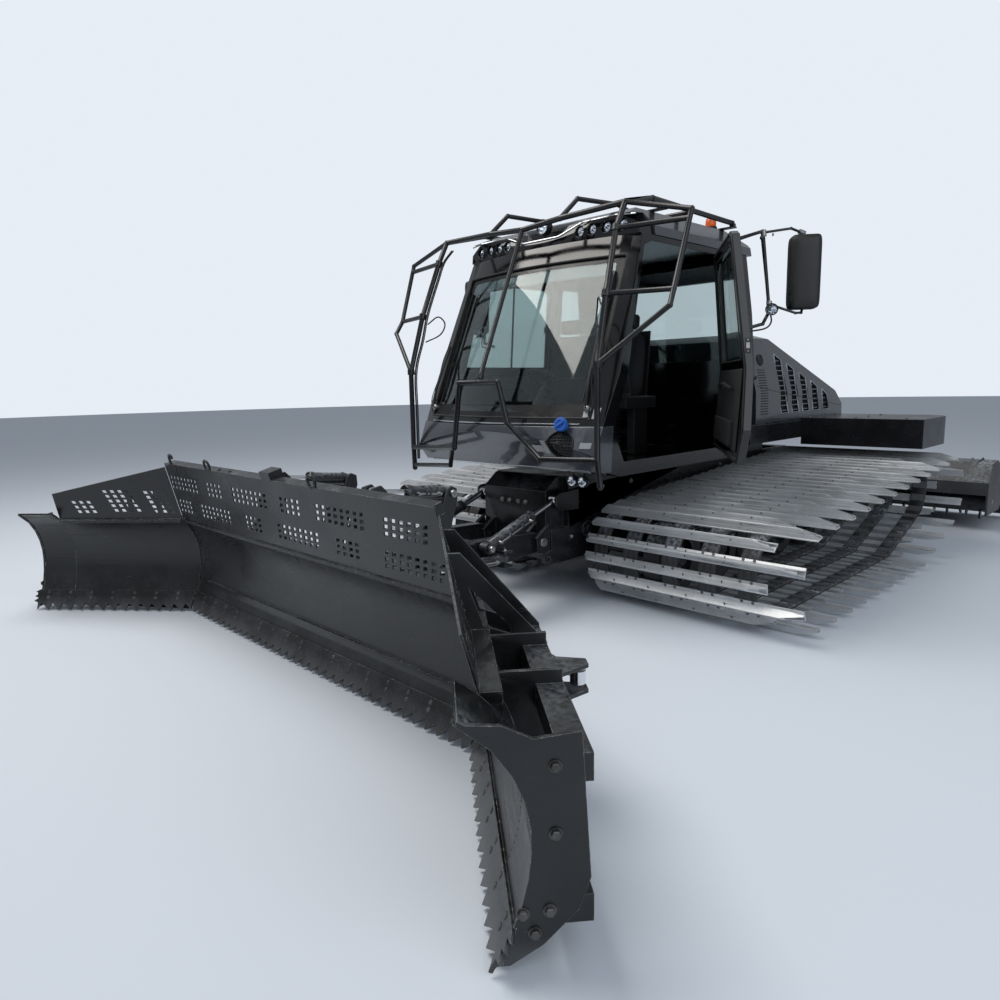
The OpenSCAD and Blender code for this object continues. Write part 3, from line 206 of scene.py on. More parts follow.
def painted(name, colour, rough=0.38, coat=0.0, metal=0.0, tone=1.5, settle=0.5, scale=3.0, grain=500.0,
            bump=0.06, frost=(0.50, 0.54, 0.60), streak=None, bare=(0.42, 0.42, 0.43), ground=None):
    """Paint, plastic, rubber or metal: the colour drifts to tone times itself with the cloudy noise, and
    rime lightens faces that look up. Where streak gives (x, y, z, level) the stretched noise rubs it
    through to bare metal, and where ground gives (low, high) the metal is bare below that height."""
    mat, tree, shader = node_material(name)
    inputs = {"Scale": scale, "Settle": settle, "Grain Scale": grain}
    weather = wired(tree, "ShaderNodeGroup", inputs, node_tree=WEATHER).outputs
    steps = [([min(1.0, c * tone) for c in colour], weather["Blotch"]), (frost, weather["Frost"])]
    if streak:
        rubbed = wired(tree, "ShaderNodeGroup", dict(zip(RUBBED, streak)), node_tree=STREAKS)
        steps.append((bare, rubbed.outputs["Mask"]))
    if ground:
        low = spread(tree, weather["Height"], *ground, 1.0, 0.0)
        patchy = spread(tree, weather["Blotch"], 0.0, 0.5, 0.45, 1.0)
        steps.append(([c * 0.9 for c in bare], product(tree, low, patchy)))
    base = (*colour, 1)
    for tint, mask in steps:
        base = wired(tree, "ShaderNodeMix", {0: mask, 6: base, 7: (*tint, 1)}, data_type="RGBA").outputs[2]
    relief = wired(tree, "ShaderNodeBump", {"Strength": bump, "Distance": 0.002, "Height": weather["Grain"]})
    feed(shader, {"Base Color": base, "Metallic": metal, "Coat Weight": coat, "Coat Roughness": 0.06,
                  "Roughness": spread(tree, weather["Blotch"], 0.0, 1.0, max(0.02, rough - 0.07),
                                      rough + 0.07),
                  "Normal": relief.outputs[0]})
    return mat


def rounded(obj, width, segments=2, slot=-1):
    """Bevel modifier on the sharp edges; slot is the material slot that its new faces take."""
    bevel = obj.modifiers.new("rounded_edges", "BEVEL")
    bevel.width = width
    bevel.segments = segments
    bevel.limit_method = "ANGLE"
    bevel.angle_limit = math.radians(40)
    bevel.use_clamp_overlap = False
    bevel.harden_normals = True
    bevel.material = slot


def dressed(node, material, worn=None, width=0.0025):
    """Copy of a CAD node that stands for it, its edges rounded by width and those faces in the worn paint."""
    mesh = nodes[node].data.copy()
    mesh.materials.clear()
    mesh.materials.append(material)
    mesh.materials.append(worn or material)
    bm = bmesh.new()
    bm.from_mesh(mesh)
    bmesh.ops.remove_doubles(bm, verts=bm.verts, dist=2e-5)
    bmesh.ops.dissolve_limit(bm, angle_limit=math.radians(0.6), verts=bm.verts, edges=bm.edges)
    for face in bm.faces:
        face.material_index = 0
    bm.to_mesh(mesh)
    bm.free()
    mesh.shade_smooth()
    mesh.set_sharp_from_angle(angle=math.radians(32))
    obj = bpy.data.objects.new(node + "_finished", mesh)
    bpy.context.scene.collection.objects.link(obj)
    rounded(obj, width, 2, 1)
    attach(obj, body_of(node))
    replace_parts(obj, node)
    return obj


def body_of(node):
    """CAD body that carries a node."""
    return next(b for b, held in frame["record"]["behaviour"]["bodies"].items() if node in held)


def painted_node(node, material):
    """Gives a CAD node that keeps its own mesh its finish."""
    mesh = nodes[node].data
    mesh.materials.clear()
    mesh.materials.append(material)


def skin(points, closed=False):
    """Shape from rings: points[i, j] is point j of ring i, each ring closed. Quads join ring i to
    ring i + 1, and the end rings are capped, or joined to each other where closed. A shape is
    (points, list of face arrays)."""
    points = np.asarray(points, float)
    rows, cols = points.shape[:2]
    i = np.arange(rows if closed else rows - 1)[:, None]
    j = np.arange(cols)[None, :]
    k, n = (j + 1) % cols, (i + 1) % rows
    faces = [np.stack([i * cols + j, i * cols + k, n * cols + k, n * cols + j], -1).reshape(-1, 4)]
    if not closed:
        faces += [np.arange(cols)[None, ::-1], (rows - 1) * cols + np.arange(cols)[None, :]]
    return points.reshape(-1, 3), faces


def lathed(profile, count=24):
    """Turned shape round Z: a profile's (r, z) goes to (r cos t, r sin t, z) for count angles t."""
    t = circle(count)
    p = np.asarray(profile, float)
    return skin(xyz(p[:, :1] * np.cos(t), p[:, :1] * np.sin(t), p[:, 1:]))


def drawn(outline, low, high, axes="xyz"):
    """Outline in the first two of the axes, drawn out from low to high along the third."""
    o = np.asarray(outline, float)
    rings = np.zeros((2, len(o), 3))
    first, second, third = ("xyz".index(c) for c in axes)
    rings[:, :, first], rings[:, :, second] = o[:, 0], o[:, 1]
    rings[0, :, third], rings[1, :, third] = low, high
    return skin(rings)


def block(a, b, low, high):
    """Box of half sizes a and b across, from low to high."""
    return drawn([[-a, -b], [a, -b], [a, b], [-a, b]], low, high)


# The machine's own directions: x ahead, y to its left, z up.
AHEAD, LEFT, UP = (1, 0, 0), (0, 1, 0), (0, 0, 1)


def set_at(shape, places, up=UP, ahead=None):
    """Copies of a shape: its point (x, y, z) goes to place + x X + y (Z x X) + z Z, with Z along up and X
    along ahead, which is the machine's Y where none is given, or its X where up is nearly Y. A shape keeps
    its material's index."""
    points, faces, *rest = shape
    o = np.atleast_2d(np.asarray(places, float))
    z = np.broadcast_to(np.asarray(up, float), o.shape)
    z = z / np.linalg.norm(z, axis=1, keepdims=True)
    if ahead is None:
        ahead = np.where(np.abs(z[:, 1:2]) > 0.8, AHEAD, LEFT)
    x = np.broadcast_to(np.asarray(ahead, float), o.shape)
    x = x - (x * z).sum(1, keepdims=True) * z
    x = x / np.linalg.norm(x, axis=1, keepdims=True)
    turn = np.stack([x, np.cross(z, x), z], 1)
    where = np.einsum("nk,fkc->fnc", points, turn) + o[:, None]
    step = len(points) * np.arange(len(o))[:, None, None]
    return where.reshape(-1, 3), [(f[None] + step).reshape(-1, f.shape[1]) for f in faces], *rest


def kind(index, *shapes):
    """The shapes marked with their material's index."""
    return [(*s[:2], index) for s in shapes]


def mirrored(shapes):
    """The same shapes on the machine's other side: y goes to -y."""
    return [(s[0] * (1, -1, 1), *s[1:]) for s in shapes]


def both(shapes):
    """Shapes and their mirror images."""
    return shapes + mirrored(shapes)


def piece(name, shapes, materials, body, bevel=0.0, soft=35.0):
    """Object of several shapes (points, faces, index of its material): doubles merged, faces turned
    outwards, smooth up to the angle soft, with its edges rounded by bevel."""
    mesh = bpy.data.meshes.new(name)
    first = np.cumsum([0] + [len(s[0]) for s in shapes])
    loops = [f + start for s, start in zip(shapes, first) for f in s[1]]
    kinds = [np.full(len(f), (*s, 0)[2]) for s in shapes for f in s[1]]
    sizes = np.concatenate([np.full(len(f), f.shape[1]) for f in loops])
    corners = np.concatenate([f.ravel() for f in loops])
    mesh.vertices.add(first[-1])
    mesh.vertices.foreach_set("co", np.concatenate([s[0] for s in shapes]).ravel())
    mesh.loops.add(len(corners))
    mesh.loops.foreach_set("vertex_index", corners)
    mesh.polygons.add(len(sizes))
    mesh.polygons.foreach_set("loop_start", np.concatenate([[0], np.cumsum(sizes)[:-1]]))
    mesh.polygons.foreach_set("material_index", np.concatenate(kinds))
    mesh.update(calc_edges=True)
    bm = bmesh.new()
    bm.from_mesh(mesh)
    bmesh.ops.remove_doubles(bm, verts=bm.verts, dist=1e-6)
    bmesh.ops.recalc_face_normals(bm, faces=bm.faces)
    bm.to_mesh(mesh)
    bm.free()
    mesh.shade_smooth()
    mesh.set_sharp_from_angle(angle=math.radians(soft))
    for material in materials if isinstance(materials, (list, tuple)) else [materials]:
        mesh.materials.append(material)
    obj = bpy.data.objects.new(name, mesh)
    bpy.context.scene.collection.objects.link(obj)
    if bevel:
        rounded(obj, bevel)
    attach(obj, body)
    return obj


def bolts(places, up, r=0.015, ahead=None):
    """Washer and hexagon head of radius r at each place, looking along up."""
    washer = lathed([(1.3 * r, -0.2 * r), (1.3 * r, 0.2 * r)], 14)
    head = lathed([(r, 0.2 * r), (r, 0.85 * r), (0.82 * r, 1.0 * r), (0.35 * r, 1.0 * r)], 6)
    return [set_at(shape, places, up, ahead) for shape in (washer, head)]


def pin_head(places, up, r):
    """Turned head of a pivot pin with a groove and a grease nipple."""
    head = [(r, -0.01), (r, 0.008), (0.86 * r, 0.014), (0.86 * r, 0.016), (0.3 * r, 0.017), (0.3 * r, 0.013)]
    nipple = [(0.006, 0.012), (0.006, 0.021), (0.003, 0.024), (0.004, 0.028)]
    return [set_at(lathed(head, 28), places, up), set_at(lathed(nipple, 10), places, up)]


frame_paint = painted("frame_paint", (0.007, 0.007, 0.0085), rough=0.27, tone=1.8, settle=0.18)
frame_edge = painted("frame_paint_edge", (0.03, 0.03, 0.032), rough=0.42, tone=2.2, settle=0.2,
                     streak=(40, 40, 40, 0.60), bare=(0.16, 0.16, 0.165))
zinc = painted("zinc_plated", (0.46, 0.46, 0.45), rough=0.34, metal=1.0, tone=0.6, settle=0.1, scale=25.0)
dressed("chassis_frame", frame_paint, frame_edge)
tub_side = [[x, 0.4, z] for x in (1.45, 1.05, 0.65, -0.9, -1.4, -1.9) for z in (0.52, 0.88)]
front_face = [[1.6915, y, z] for y in (-0.13, -0.05, 0.05, 0.13) for z in (0.50, 0.80)]
tub_pins = both(pin_head([[1.76, 0.376, 0.52]], LEFT, 0.036))
tub_pins += both(pin_head([[-2.48, 0.401, 0.63]], LEFT, 0.032))
tub_bolts = both(bolts(tub_side, LEFT)) + bolts(front_face, AHEAD)
piece("chassis_bolts", tub_bolts + tub_pins, zinc, "chassis")

# Wheels: tyred steel road wheels on swinging arms, front wheels and toothed drive wheels. Hub caps with
# their nuts are lathed and set on the rims; the tyres keep the solids' form in dull rubber.

rubber = painted("tyre_rubber", (0.016, 0.016, 0.017), rough=0.78, tone=1.7, settle=0.6, bump=0.3, grain=250)
dressed("wheel_arms", frame_paint, frame_edge, 0.003)
painted_node("wheel_rims", frame_paint)
painted_node("wheel_tyres", rubber)
wheels = ((-1.280, 0.355), (-0.713, 0.355), (-0.146, 0.355), (0.421, 0.355), (1.045, 0.385))
wheel_places = np.array([[x, 1.13, z] for x, z in wheels])
hub = lathed([(0.088, -0.01), (0.088, 0.004), (0.070, 0.010), (0.060, 0.034), (0.052, 0.042), (0.018, 0.044),
              (0.018, 0.040)], 32)
around = circle(8)
nut_ring = xyz(0.078 * np.cos(around), 0, 0.078 * np.sin(around))
nuts = bolts((wheel_places[:, None] + nut_ring + (0, 0.004, 0)).reshape(-1, 3), LEFT, 0.009)
piece("hub_caps", both([set_at(hub, wheel_places, LEFT)]), frame_edge, "chassis")
piece("hub_nuts", both(nuts), zinc, "chassis")

# Tracks: five reinforced rubber belts a side joined by aluminium crossbars, alternately long and short. The
# belts are ribbed strips swept along the loop; a bar is one extruded section with oblique hollow ends, set
# along the loop with its bolts, its steel backing plates and its pins.


def track_line(circles, steps=36):
    """Line of the belts' outside round circles (x, z, r), counter-clockwise. Leaving circle 1 for circle 2,
    at the distance D in the direction d, the outward normal a solves cos(d - a) = (r1 - r2) / D with
    a = d - acos((r1 - r2) / D). Gives points (x, z), normal angles and running lengths; the last point is
    the first."""
    c = np.asarray(circles, float)
    d = np.roll(c, -1, 0) - c
    leave = np.arctan2(d[:, 1], d[:, 0]) - np.arccos(-d[:, 2] / np.hypot(d[:, 0], d[:, 1]))
    arrive = np.roll(leave, 1)
    a = arrive[:, None] + ((leave - arrive) % (2 * np.pi))[:, None] * np.linspace(0, 1, steps)
    points = c[:, None, :2] + c[:, None, 2:] * np.stack([np.cos(a), np.sin(a)], -1)
    points = np.concatenate([points.reshape(-1, 2), points[:1, 0]])
    a = np.unwrap(np.concatenate([a.ravel(), a[:1, 0]]))
    return points, a, np.concatenate([[0], np.cumsum(np.linalg.norm(np.diff(points, axis=0), axis=1))])


def along_track(s):
    """Places (x, z) and unit normals at the running lengths s."""
    s = np.asarray(s) % run[-1]
    x, z, a = (np.interp(s, run, v) for v in (line[:, 0], line[:, 1], normal))
    return np.stack([x, z], -1), np.stack([np.cos(a), np.sin(a)], -1)


def belt(y, width=0.13, thick=0.020):
    """Belt strip centred at y: its ribbed section (across, out) is carried along the loop, each point to
    place + out times normal."""
    half = width / 2
    section = np.array([[half - 0.003, 0], [half, -0.003], [half, -thick + 0.003], [half - 0.003, -thick],
                        [-half + 0.003, -thick], [-half, -thick + 0.003], [-half, -0.003], [-half + 0.003, 0],
                        [-0.034, 0], [-0.031, -0.003], [-0.024, -0.003], [-0.021, 0],
                        [0.021, 0], [0.024, -0.003], [0.031, -0.003], [0.034, 0]])
    where, out = along_track(np.linspace(0, run[-1], 181)[:-1])
    flat = where[:, None] + section[None, :, 1:] * out[:, None]
    return skin(xyz(flat[..., 0], y + section[:, 0], flat[..., 1]), closed=True)


def crossbar(tip, inner=0.480, low=0.022, high=0.065, cut=0.150):
    """Bar from inner to tip: its section (along the run, out) is a blunt blade on a wide foot. Above the
    height low the ends are cut back obliquely, by cut at the top: y = tip - cut (out - low) / (high - low).
    The outer end is hollow."""
    section = np.array([(-37, -4), (37, -4), (37, 3), (30, 6), (25, 22), (21, 31), (18.5, 32), (17.5, 35),
                        (19, 37), (14, 54), (9, 62), (3, 65), (-3, 64), (-7, 56), (-10, 40), (-15, 22),
                        (-20, 7), (-37, 3)])
    section = section / 1000
    over = np.clip((section[:, 1] - low) / (high - low), 0, 1)
    middle = np.array([2, 24]) / 1000
    inside = middle + (section - middle) * (0.78, 0.74)
    hollow = np.clip((inside[:, 1] - low) / (high - low), 0, 1)
    rings = [(section, inner + 0.060 * over), (section, inner + 0.10),
             (section, tip - cut * over), (inside, tip - 0.001 - cut * hollow),
             (inside, tip - 0.050 - cut * hollow)]
    return skin([xyz(s[:, 0], y, s[:, 1]) for s, y in rings])


line, normal, run = track_line([[1.045, 0.385, 0.320], [-2.070, 0.620, 0.300], [-1.280, 0.355, 0.290]])
belt_rows = np.array([0.620, 0.900, 1.240, 1.540, 1.840])
alloy = painted("track_alloy", (0.55, 0.56, 0.57), rough=0.42, metal=0.45, tone=1.25, settle=0.8, bump=0.10,
                grain=160, frost=(0.80, 0.83, 0.87), streak=(55.0, 2.2, 55.0, 0.60), bare=(0.26, 0.27, 0.28))
alloy_dull = painted("track_alloy_foot", (0.20, 0.20, 0.21), rough=0.55, metal=0.6, tone=0.6, settle=0.4,
                     bump=0.2, grain=160, streak=(9.0, 9.0, 9.0, 0.64), bare=(0.16, 0.10, 0.07))
belt_rubber = painted("belt_rubber", (0.020, 0.020, 0.021), rough=0.66, tone=2.2, settle=0.8, bump=0.35,
                      grain=130, streak=(1.2, 60.0, 1.2, 0.66), bare=(0.07, 0.07, 0.072))
bar_count = 56
where, out = along_track((np.arange(bar_count) + 0.25) * run[-1] / bar_count)
bar_place = xyz(where[:, 0], 0.0, where[:, 1])
bar_up = xyz(out[:, 0], 0.0, out[:, 1])
bar_ahead = xyz(out[:, 1], 0.0, -out[:, 0])


def on_bars(shape, sel, offsets):
    """The shape on the selected bars, once per offset (along the run, y, out) in the bar's own frame."""
    o = np.asarray(offsets, float)
    along, outward = bar_ahead[sel], bar_up[sel]
    places = bar_place[sel][:, None] + along[:, None] * o[:, :1] + outward[:, None] * o[:, 2:]
    places += LEFT * o[:, 1:2]
    return set_at(shape, places.reshape(-1, 3), np.repeat(outward, len(o), 0), np.repeat(along, len(o), 0))


every = np.arange(bar_count)
bars = [on_bars(crossbar(2.223), every[::2], [[0, 0, 0]]), on_bars(crossbar(1.990), every[1::2], [[0, 0, 0]])]
bolt_spots = [[-0.029, y + k, 0.004] for y in belt_rows for k in (-0.04, 0.04)]
foot_spots = [[0, y, 0] for y in belt_rows if not 0.95 < y < 1.20]
bar_nut = lathed([(0.011, -0.002), (0.011, 0.005), (0.008, 0.008)], 6)
bar_pin = set_at(lathed([(0.005, 0.0), (0.005, 0.052), (0.003, 0.055)], 8), [[-0.026, 0, 0]], AHEAD)
bars += kind(1, on_bars(block(0.034, 0.060, -0.027, -0.0205), every, foot_spots),
             on_bars(bar_nut, every, bolt_spots),
             on_bars(bar_pin, every, [[0, y, 0.050] for y in (0.76, 1.07, 1.39, 1.69)]))
for side, flip in (("left", list), ("right", mirrored)):
    belts = piece("track_belts_" + side, flip([belt(y) for y in belt_rows]), belt_rubber, "chassis",
                  soft=60)
    lugs = piece("track_bars_" + side, flip(bars), [alloy, alloy_dull], "chassis", soft=28)
    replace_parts(belts, "track_" + side)
    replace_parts(lugs, "track_" + side)

# Engine, pumps and tank: one plain casting block at its place under the hood, with cast skin.

painted_node("engine_block", painted("engine_casting", (0.20, 0.21, 0.22), rough=0.5, bump=0.3, grain=200))

# Rear deck: steel covers over the rear of the tracks with rounded corners, black with a rubbed upper edge
# and held down by hexagon bolts.

dressed("rear_deck", frame_paint, frame_edge, 0.004)
cover_bolts = [[x, y, 1.3305] for x in (-1.60, -1.95, -2.30) for y in (1.00, 1.45)] + [[-1.60, 1.90, 1.3305]]
piece("deck_bolts", both(bolts(cover_bolts, UP, 0.011)), zinc, "chassis")

# Engine hood: a bent sheet shell in metallic grey, its side vents framed in bright trim with dark wire mesh
# behind the louvres. Mesh and frames follow the hood's leaning sides; seams are thin dark lines laid on it.


def piped(path, r, count=10):
    """Round tube along a path: ring k is p_k + r (cos t u_k + sin t v_k), with u across the direction d_k
    and one fixed line, and v = d x u. A corner is passed at the mean direction."""
    p = np.asarray(path, float)
    d = np.gradient(p, axis=0)
    d /= np.linalg.norm(d, axis=1, keepdims=True)
    u = np.cross(d, np.eye(3)[np.argmin(np.abs(d).max(0))])
    u /= np.linalg.norm(u, axis=1, keepdims=True)
    v = np.cross(d, u)
    t = circle(count)[None, :, None]
    return skin(p[:, None] + r * (np.cos(t) * u[:, None] + np.sin(t) * v[:, None]))


def curve(points, steps=8):
    """Smooth line through the points: between p1 and p2 it is half of
    2 p1 + (p2 - p0) t + (2 p0 - 5 p1 + 4 p2 - p3) t^2 + (3 p1 - p0 - 3 p2 + p3) t^3."""
    p = np.asarray(points, float)
    q = np.concatenate([2 * p[:1] - p[1:2], p, 2 * p[-1:] - p[-2:-1]])
    t = np.linspace(0, 1, steps, endpoint=False)[None, :, None]
    a, b, c, d = (q[k:len(q) - 3 + k, None] for k in range(4))
    square, cube = 2 * a - 5 * b + 4 * c - d, 3 * b - a - 3 * c + d
    line = 0.5 * (2 * b + (c - a) * t + square * t ** 2 + cube * t ** 3)
    return np.concatenate([line.reshape(-1, 3), p[-1:]])


def hood_side(z):
    """Half width of the hood at height z."""
    return np.interp(z, (1.2, 1.6, 2.1), (0.940, 0.930, 0.820))


def on_hood(outline, out):
    """Points (x, z) laid on the left side of the hood, out beyond its face."""
    o = np.asarray(outline, float)
    return xyz(o[:, 0], hood_side(o[:, 1]) + out, o[:, 1])


body_grey = painted("body_metallic_grey", (0.070, 0.076, 0.088), rough=0.28, coat=0.9, metal=0.6, tone=1.25,
                    settle=0.25)
bright_trim = painted("bright_trim", (0.62, 0.64, 0.67), rough=0.22, metal=1.0, tone=0.85, settle=0.1)
wire_mesh = painted("vent_mesh", (0.010, 0.010, 0.011), rough=0.6, tone=1.5, settle=0.2)
dressed("engine_hood", body_grey)
frames, screens = [], []
for x, top in [(-1.06 - 0.25 * i, 1.96 - 0.088 * i) for i in range(5)]:
    corners = [[x - 0.020, 1.39], [x - 0.180, 1.39], [x - 0.120, top - 0.06], [x + 0.010, top],
               [x - 0.020, 1.39]]
    frames += [piped(on_hood(path, 0.002), 0.006, 8) for path in (corners[:4], corners[3:], corners[:2])]
    a, b = np.array([x - 0.175, 1.40]), np.array([x - 0.03, 1.40])
    c, d = np.array([x - 0.12, top - 0.07]), np.array([x, top - 0.015])
    for p, q, r, s, count in ((a, b, c, d, 12), (a, c, b, d, 24)):
        for t in np.linspace(0.02, 0.98, count):
            screens.append(piped(on_hood([p + t * (q - p), r + t * (s - r)], -0.022), 0.0022, 5))
piece("hood_vent_frames", both(frames), bright_trim, "hood")
piece("hood_vent_screens", both(screens), wire_mesh, "hood")
seams = [piped(on_hood([[-0.60, 1.66], [-1.00, 1.60], [-2.58, 1.42]], -0.001), 0.003, 6),
         piped(on_hood([[-0.84, 1.34], [-0.84, 2.08]], -0.001), 0.003, 6)]
lamp_ring = lathed([(0.052, -0.004), (0.055, 0.006), (0.046, 0.012), (0.042, 0.006)], 28)
lamp_ring = set_at(lamp_ring, [[-0.74, float(hood_side(1.90)), 1.90]], (0, 0.975, 0.21))
intake = [piped(on_hood([[-0.66, z], [-0.80, z]], 0.001), 0.0045, 6) for z in np.arange(1.40, 1.82, 0.024)]
piece("hood_seams", both(seams + [lamp_ring] + intake), wire_mesh, "hood")

# Blade gear: the lift frame, the swivel head and the tilt head are thick welded plates, painted as the tub.
# Every hydraulic cylinder gets a turned gland, a hard pipe with its clips and a port block; rods are chrome.


def cylinder_gear(name, p, q, r, length, body, flip):
    """Gland, pipe, clips and ports of a cylinder whose barrel, of radius r and that length, runs from p
    towards q. They are drawn along Z and set with the origin at p and Z towards q."""
    side = r + 0.011
    gland = lathed([(r - 0.002, length - 0.040), (r + 0.005, length - 0.038), (r + 0.005, length - 0.004),
                    (r + 0.001, length + 0.002), (0.60 * r, length + 0.002), (0.58 * r, length - 0.004)], 32)
    pipe = piped(curve([[side - 0.012, 0, 0.10], [side, 0, 0.12], [side, 0, length - 0.09],
                        [side - 0.012, 0, length - 0.065]], 6), 0.0065, 8)
    clip = [[r - 0.004, -0.012], [side + 0.009, -0.012], [side + 0.009, 0.012], [r - 0.004, 0.012]]
    clips = [drawn(clip, z, z + 0.014) for z in (0.20, length - 0.16)]
    port = lathed([(0.013, 0), (0.013, 0.016), (0.009, 0.020), (0.009, 0.030)], 8)
    ports = [set_at(port, [[r - 0.002, 0, z]], AHEAD) for z in (0.10, length - 0.065)]
    d = np.subtract(q, p)
    sideways = (0, 1, 0.001) if abs(d[1]) < abs(d[0]) else UP
    gear = kind(0, gland) + kind(1, pipe) + kind(0, *clips) + kind(1, *ports)
    piece(name, flip([set_at(s, [p], d, sideways) for s in gear]), [cylinder_paint, zinc], body)


cylinder_paint = painted("cylinder_paint", (0.014, 0.014, 0.016), rough=0.24, coat=0.3, tone=1.7, settle=0.4)
chrome = painted("cylinder_chrome", (0.80, 0.81, 0.83), rough=0.12, metal=1.0, tone=0.9, settle=0.05,
                 bump=0.01)
for node in ("lift_frame", "angle_head", "tilt_head"):
    dressed(node, frame_paint, frame_edge, 0.003)
for node in nodes:
    if node.endswith(("_rods", "_rod_left", "_rod_right")):
        painted_node(node, chrome)
    if node.endswith(("_barrels", "_barrel_left", "_barrel_right")):
        dressed(node, cylinder_paint, frame_edge, 0.0015)
for side, flip in (("left", list), ("right", mirrored)):
    for name, p, q, r, length, body in (
            ("lift", (2.380, 0.390, 0.585), (1.640, 0.390, 0.840), 0.044, 0.500, "lift_barrels"),
            ("angle", (2.240, 0.430, 0.490), (2.840, 0.340, 0.490), 0.036, 0.390, "angle_barrel_" + side),
            ("pitch", (2.880, 0.560, 1.060), (3.420, 0.560, 1.120), 0.046, 0.330, "pitch_barrels")):
        cylinder_gear(f"{name}_cylinder_gear_{side}", p, q, r, length, body, flip)
frame_pins = pin_head([[2.380, 0.445, 0.585]], LEFT, 0.026)
frame_pins += pin_head([[2.24, 0.43, 0.545]], UP, 0.024)
piece("lift_frame_pins", both(frame_pins), zinc, "lift_frame")
tilt_pins = both(pin_head([[2.880, 0.627, 1.060]], LEFT, 0.026))
piece("tilt_head_pins", tilt_pins, zinc, "tilt_head")
piece("swivel_pin_cap", pin_head([[2.760, 0, 0.715]], UP, 0.050), zinc, "lift_frame")

# Blade: mouldboard, ridge, perforated snow guard and toothed edge are plain black steel, scratched along
# the travel of the snow and bare at the teeth. Flush bolts, hinge pin heads, lifting rings, a hook and a
# valve box are set on them.


edge_cos, edge_sin = math.cos(math.radians(27)), math.sin(math.radians(27))


def edge_point(y, h):
    """Point on the front of the cutting edge, 8 mm thick, h up its slope of 27 degrees:
    x = 3.7068 + 0.008 cos 27 - h sin 27, z = 0.008 sin 27 + h cos 27."""
    thick = 0.008
    x, z = 3.7068 + thick * edge_cos - h * edge_sin, thick * edge_sin + h * edge_cos
    return xyz(x, y, z)


def winged(shapes):
    """Shapes of the left wing in line with the centre part, swung 39.65 degrees forward about the fold."""
    a = math.radians(-39.65)
    turn = np.array([[math.cos(a), math.sin(a), 0], [-math.sin(a), math.cos(a), 0], [0, 0, 1]])
    pivot = np.array([3.510, 1.7043, 0])
    return [((s[0] - pivot) @ turn + pivot, *s[1:]) for s in shapes]


blade_paint = painted("blade_paint", (0.008, 0.0085, 0.0095), rough=0.30, tone=1.8, settle=0.2,
                      streak=(1.5, 9.0, 45.0, 0.66), bare=(0.075, 0.077, 0.08), ground=(0.045, 0.12))
blade_edge = painted("blade_paint_edge", (0.045, 0.045, 0.046), rough=0.4, tone=2.0, settle=0.15,
                     streak=(30, 30, 30, 0.55), bare=(0.24, 0.24, 0.235))
edge_bolt = painted("edge_bolt_steel", (0.07, 0.068, 0.065), rough=0.45, metal=0.8, tone=2.2, settle=0.2,
                    scale=12)
for node in ("blade_centre", "snow_guard", "wing_left", "wing_right"):
    dressed(node, blade_paint, blade_edge, 0.002)
flush_head = lathed([(0.013, -0.003), (0.013, 0.0010), (0.011, 0.0024), (0.004, 0.0024)], 14)
edge_bolts = []
for rows in (np.arange(-1.656, 1.7, 0.184), np.arange(1.90, 3.03, 0.184)):
    places = np.concatenate([edge_point(rows, h) for h in (0.110, 0.150)])
    edge_bolts.append(set_at(flush_head, places, (edge_cos, 0, edge_sin)))
hinge_heads = both(pin_head([[3.510, 1.7043, 0.630]], UP, 0.022))
hinge_heads += both(pin_head([[3.200, 1.010, 0.588]], UP, 0.024))
piece("edge_bolts", edge_bolts[:1] + hinge_heads, edge_bolt, "blade")
ring_at = np.linspace(0, 2 * np.pi, 33)
ring = piped(xyz(0.036 * np.cos(ring_at), 0, 0.036 + 0.036 * np.sin(ring_at)), 0.009, 8)
hook_line = [[0, 0, -0.01], [0, 0, 0.045], [0.020, 0, 0.075], [0.048, 0, 0.072], [0.058, 0, 0.048]]
hook = piped(curve(hook_line, 5), 0.010, 8)
guard_up = (math.sin(math.radians(15)), 0, math.cos(math.radians(15)))
rings = [set_at(ring, [[3.814, -0.80, 1.197], [3.814, 0.55, 1.197]], guard_up, LEFT),
         set_at(hook, [[3.814, -1.45, 1.197]], guard_up, LEFT),
         set_at(block(0.045, 0.06, -0.004, 0.052), [[3.775, 0.02, 1.2075]], guard_up, AHEAD)]
rings += bolts([[3.790, -0.52, 1.203], [3.790, -0.68, 1.203]], guard_up, 0.012, LEFT)
piece("guard_rings", rings, blade_paint, "blade", 0.002)
end_places = ((3.60, 0.20), (3.52, 0.205), (3.565, 0.135), (3.50, 0.45), (3.50, 0.66))
end_bolts = bolts([[x, 3.081, z] for x, z in end_places], LEFT, 0.016)
for side, flip in (("left", list), ("right", mirrored)):
    heads = flip(winged(edge_bolts[1:] + end_bolts))
    piece("wing_bolts_" + side, heads, edge_bolt, "wing_" + side)

# Cab: gloss black shell with its visor, metallic grey roof and nose. Window bands, sun strip, wipers, seals
# and trims are strips and tubes laid on the curved windscreen and the leaning sides by their own formulas.


def screen_point(y, z, t):
    """Point of the windscreen's curve, t inside the outer skin. It is a cylinder of radius 2.9 leaning 23
    degrees: X = -2.9 + sqrt((2.9 - t)^2 - y^2), w = (z - 1.43 - X sin 23) / cos 23 and
    x = 1.96 + X cos 23 - w sin 23."""
    lean = math.radians(23)
    back = -2.9 + np.sqrt((2.9 - t) ** 2 - y ** 2)
    along = (z - 1.43 - back * math.sin(lean)) / math.cos(lean)
    return xyz(1.96 + back * math.cos(lean) - along * math.sin(lean), y, z)


def cab_side(z):
    """Half width of the cab's outer skin at height z."""
    return np.interp(z, (1.05, 1.80, 2.79), (0.940, 0.985, 0.905))


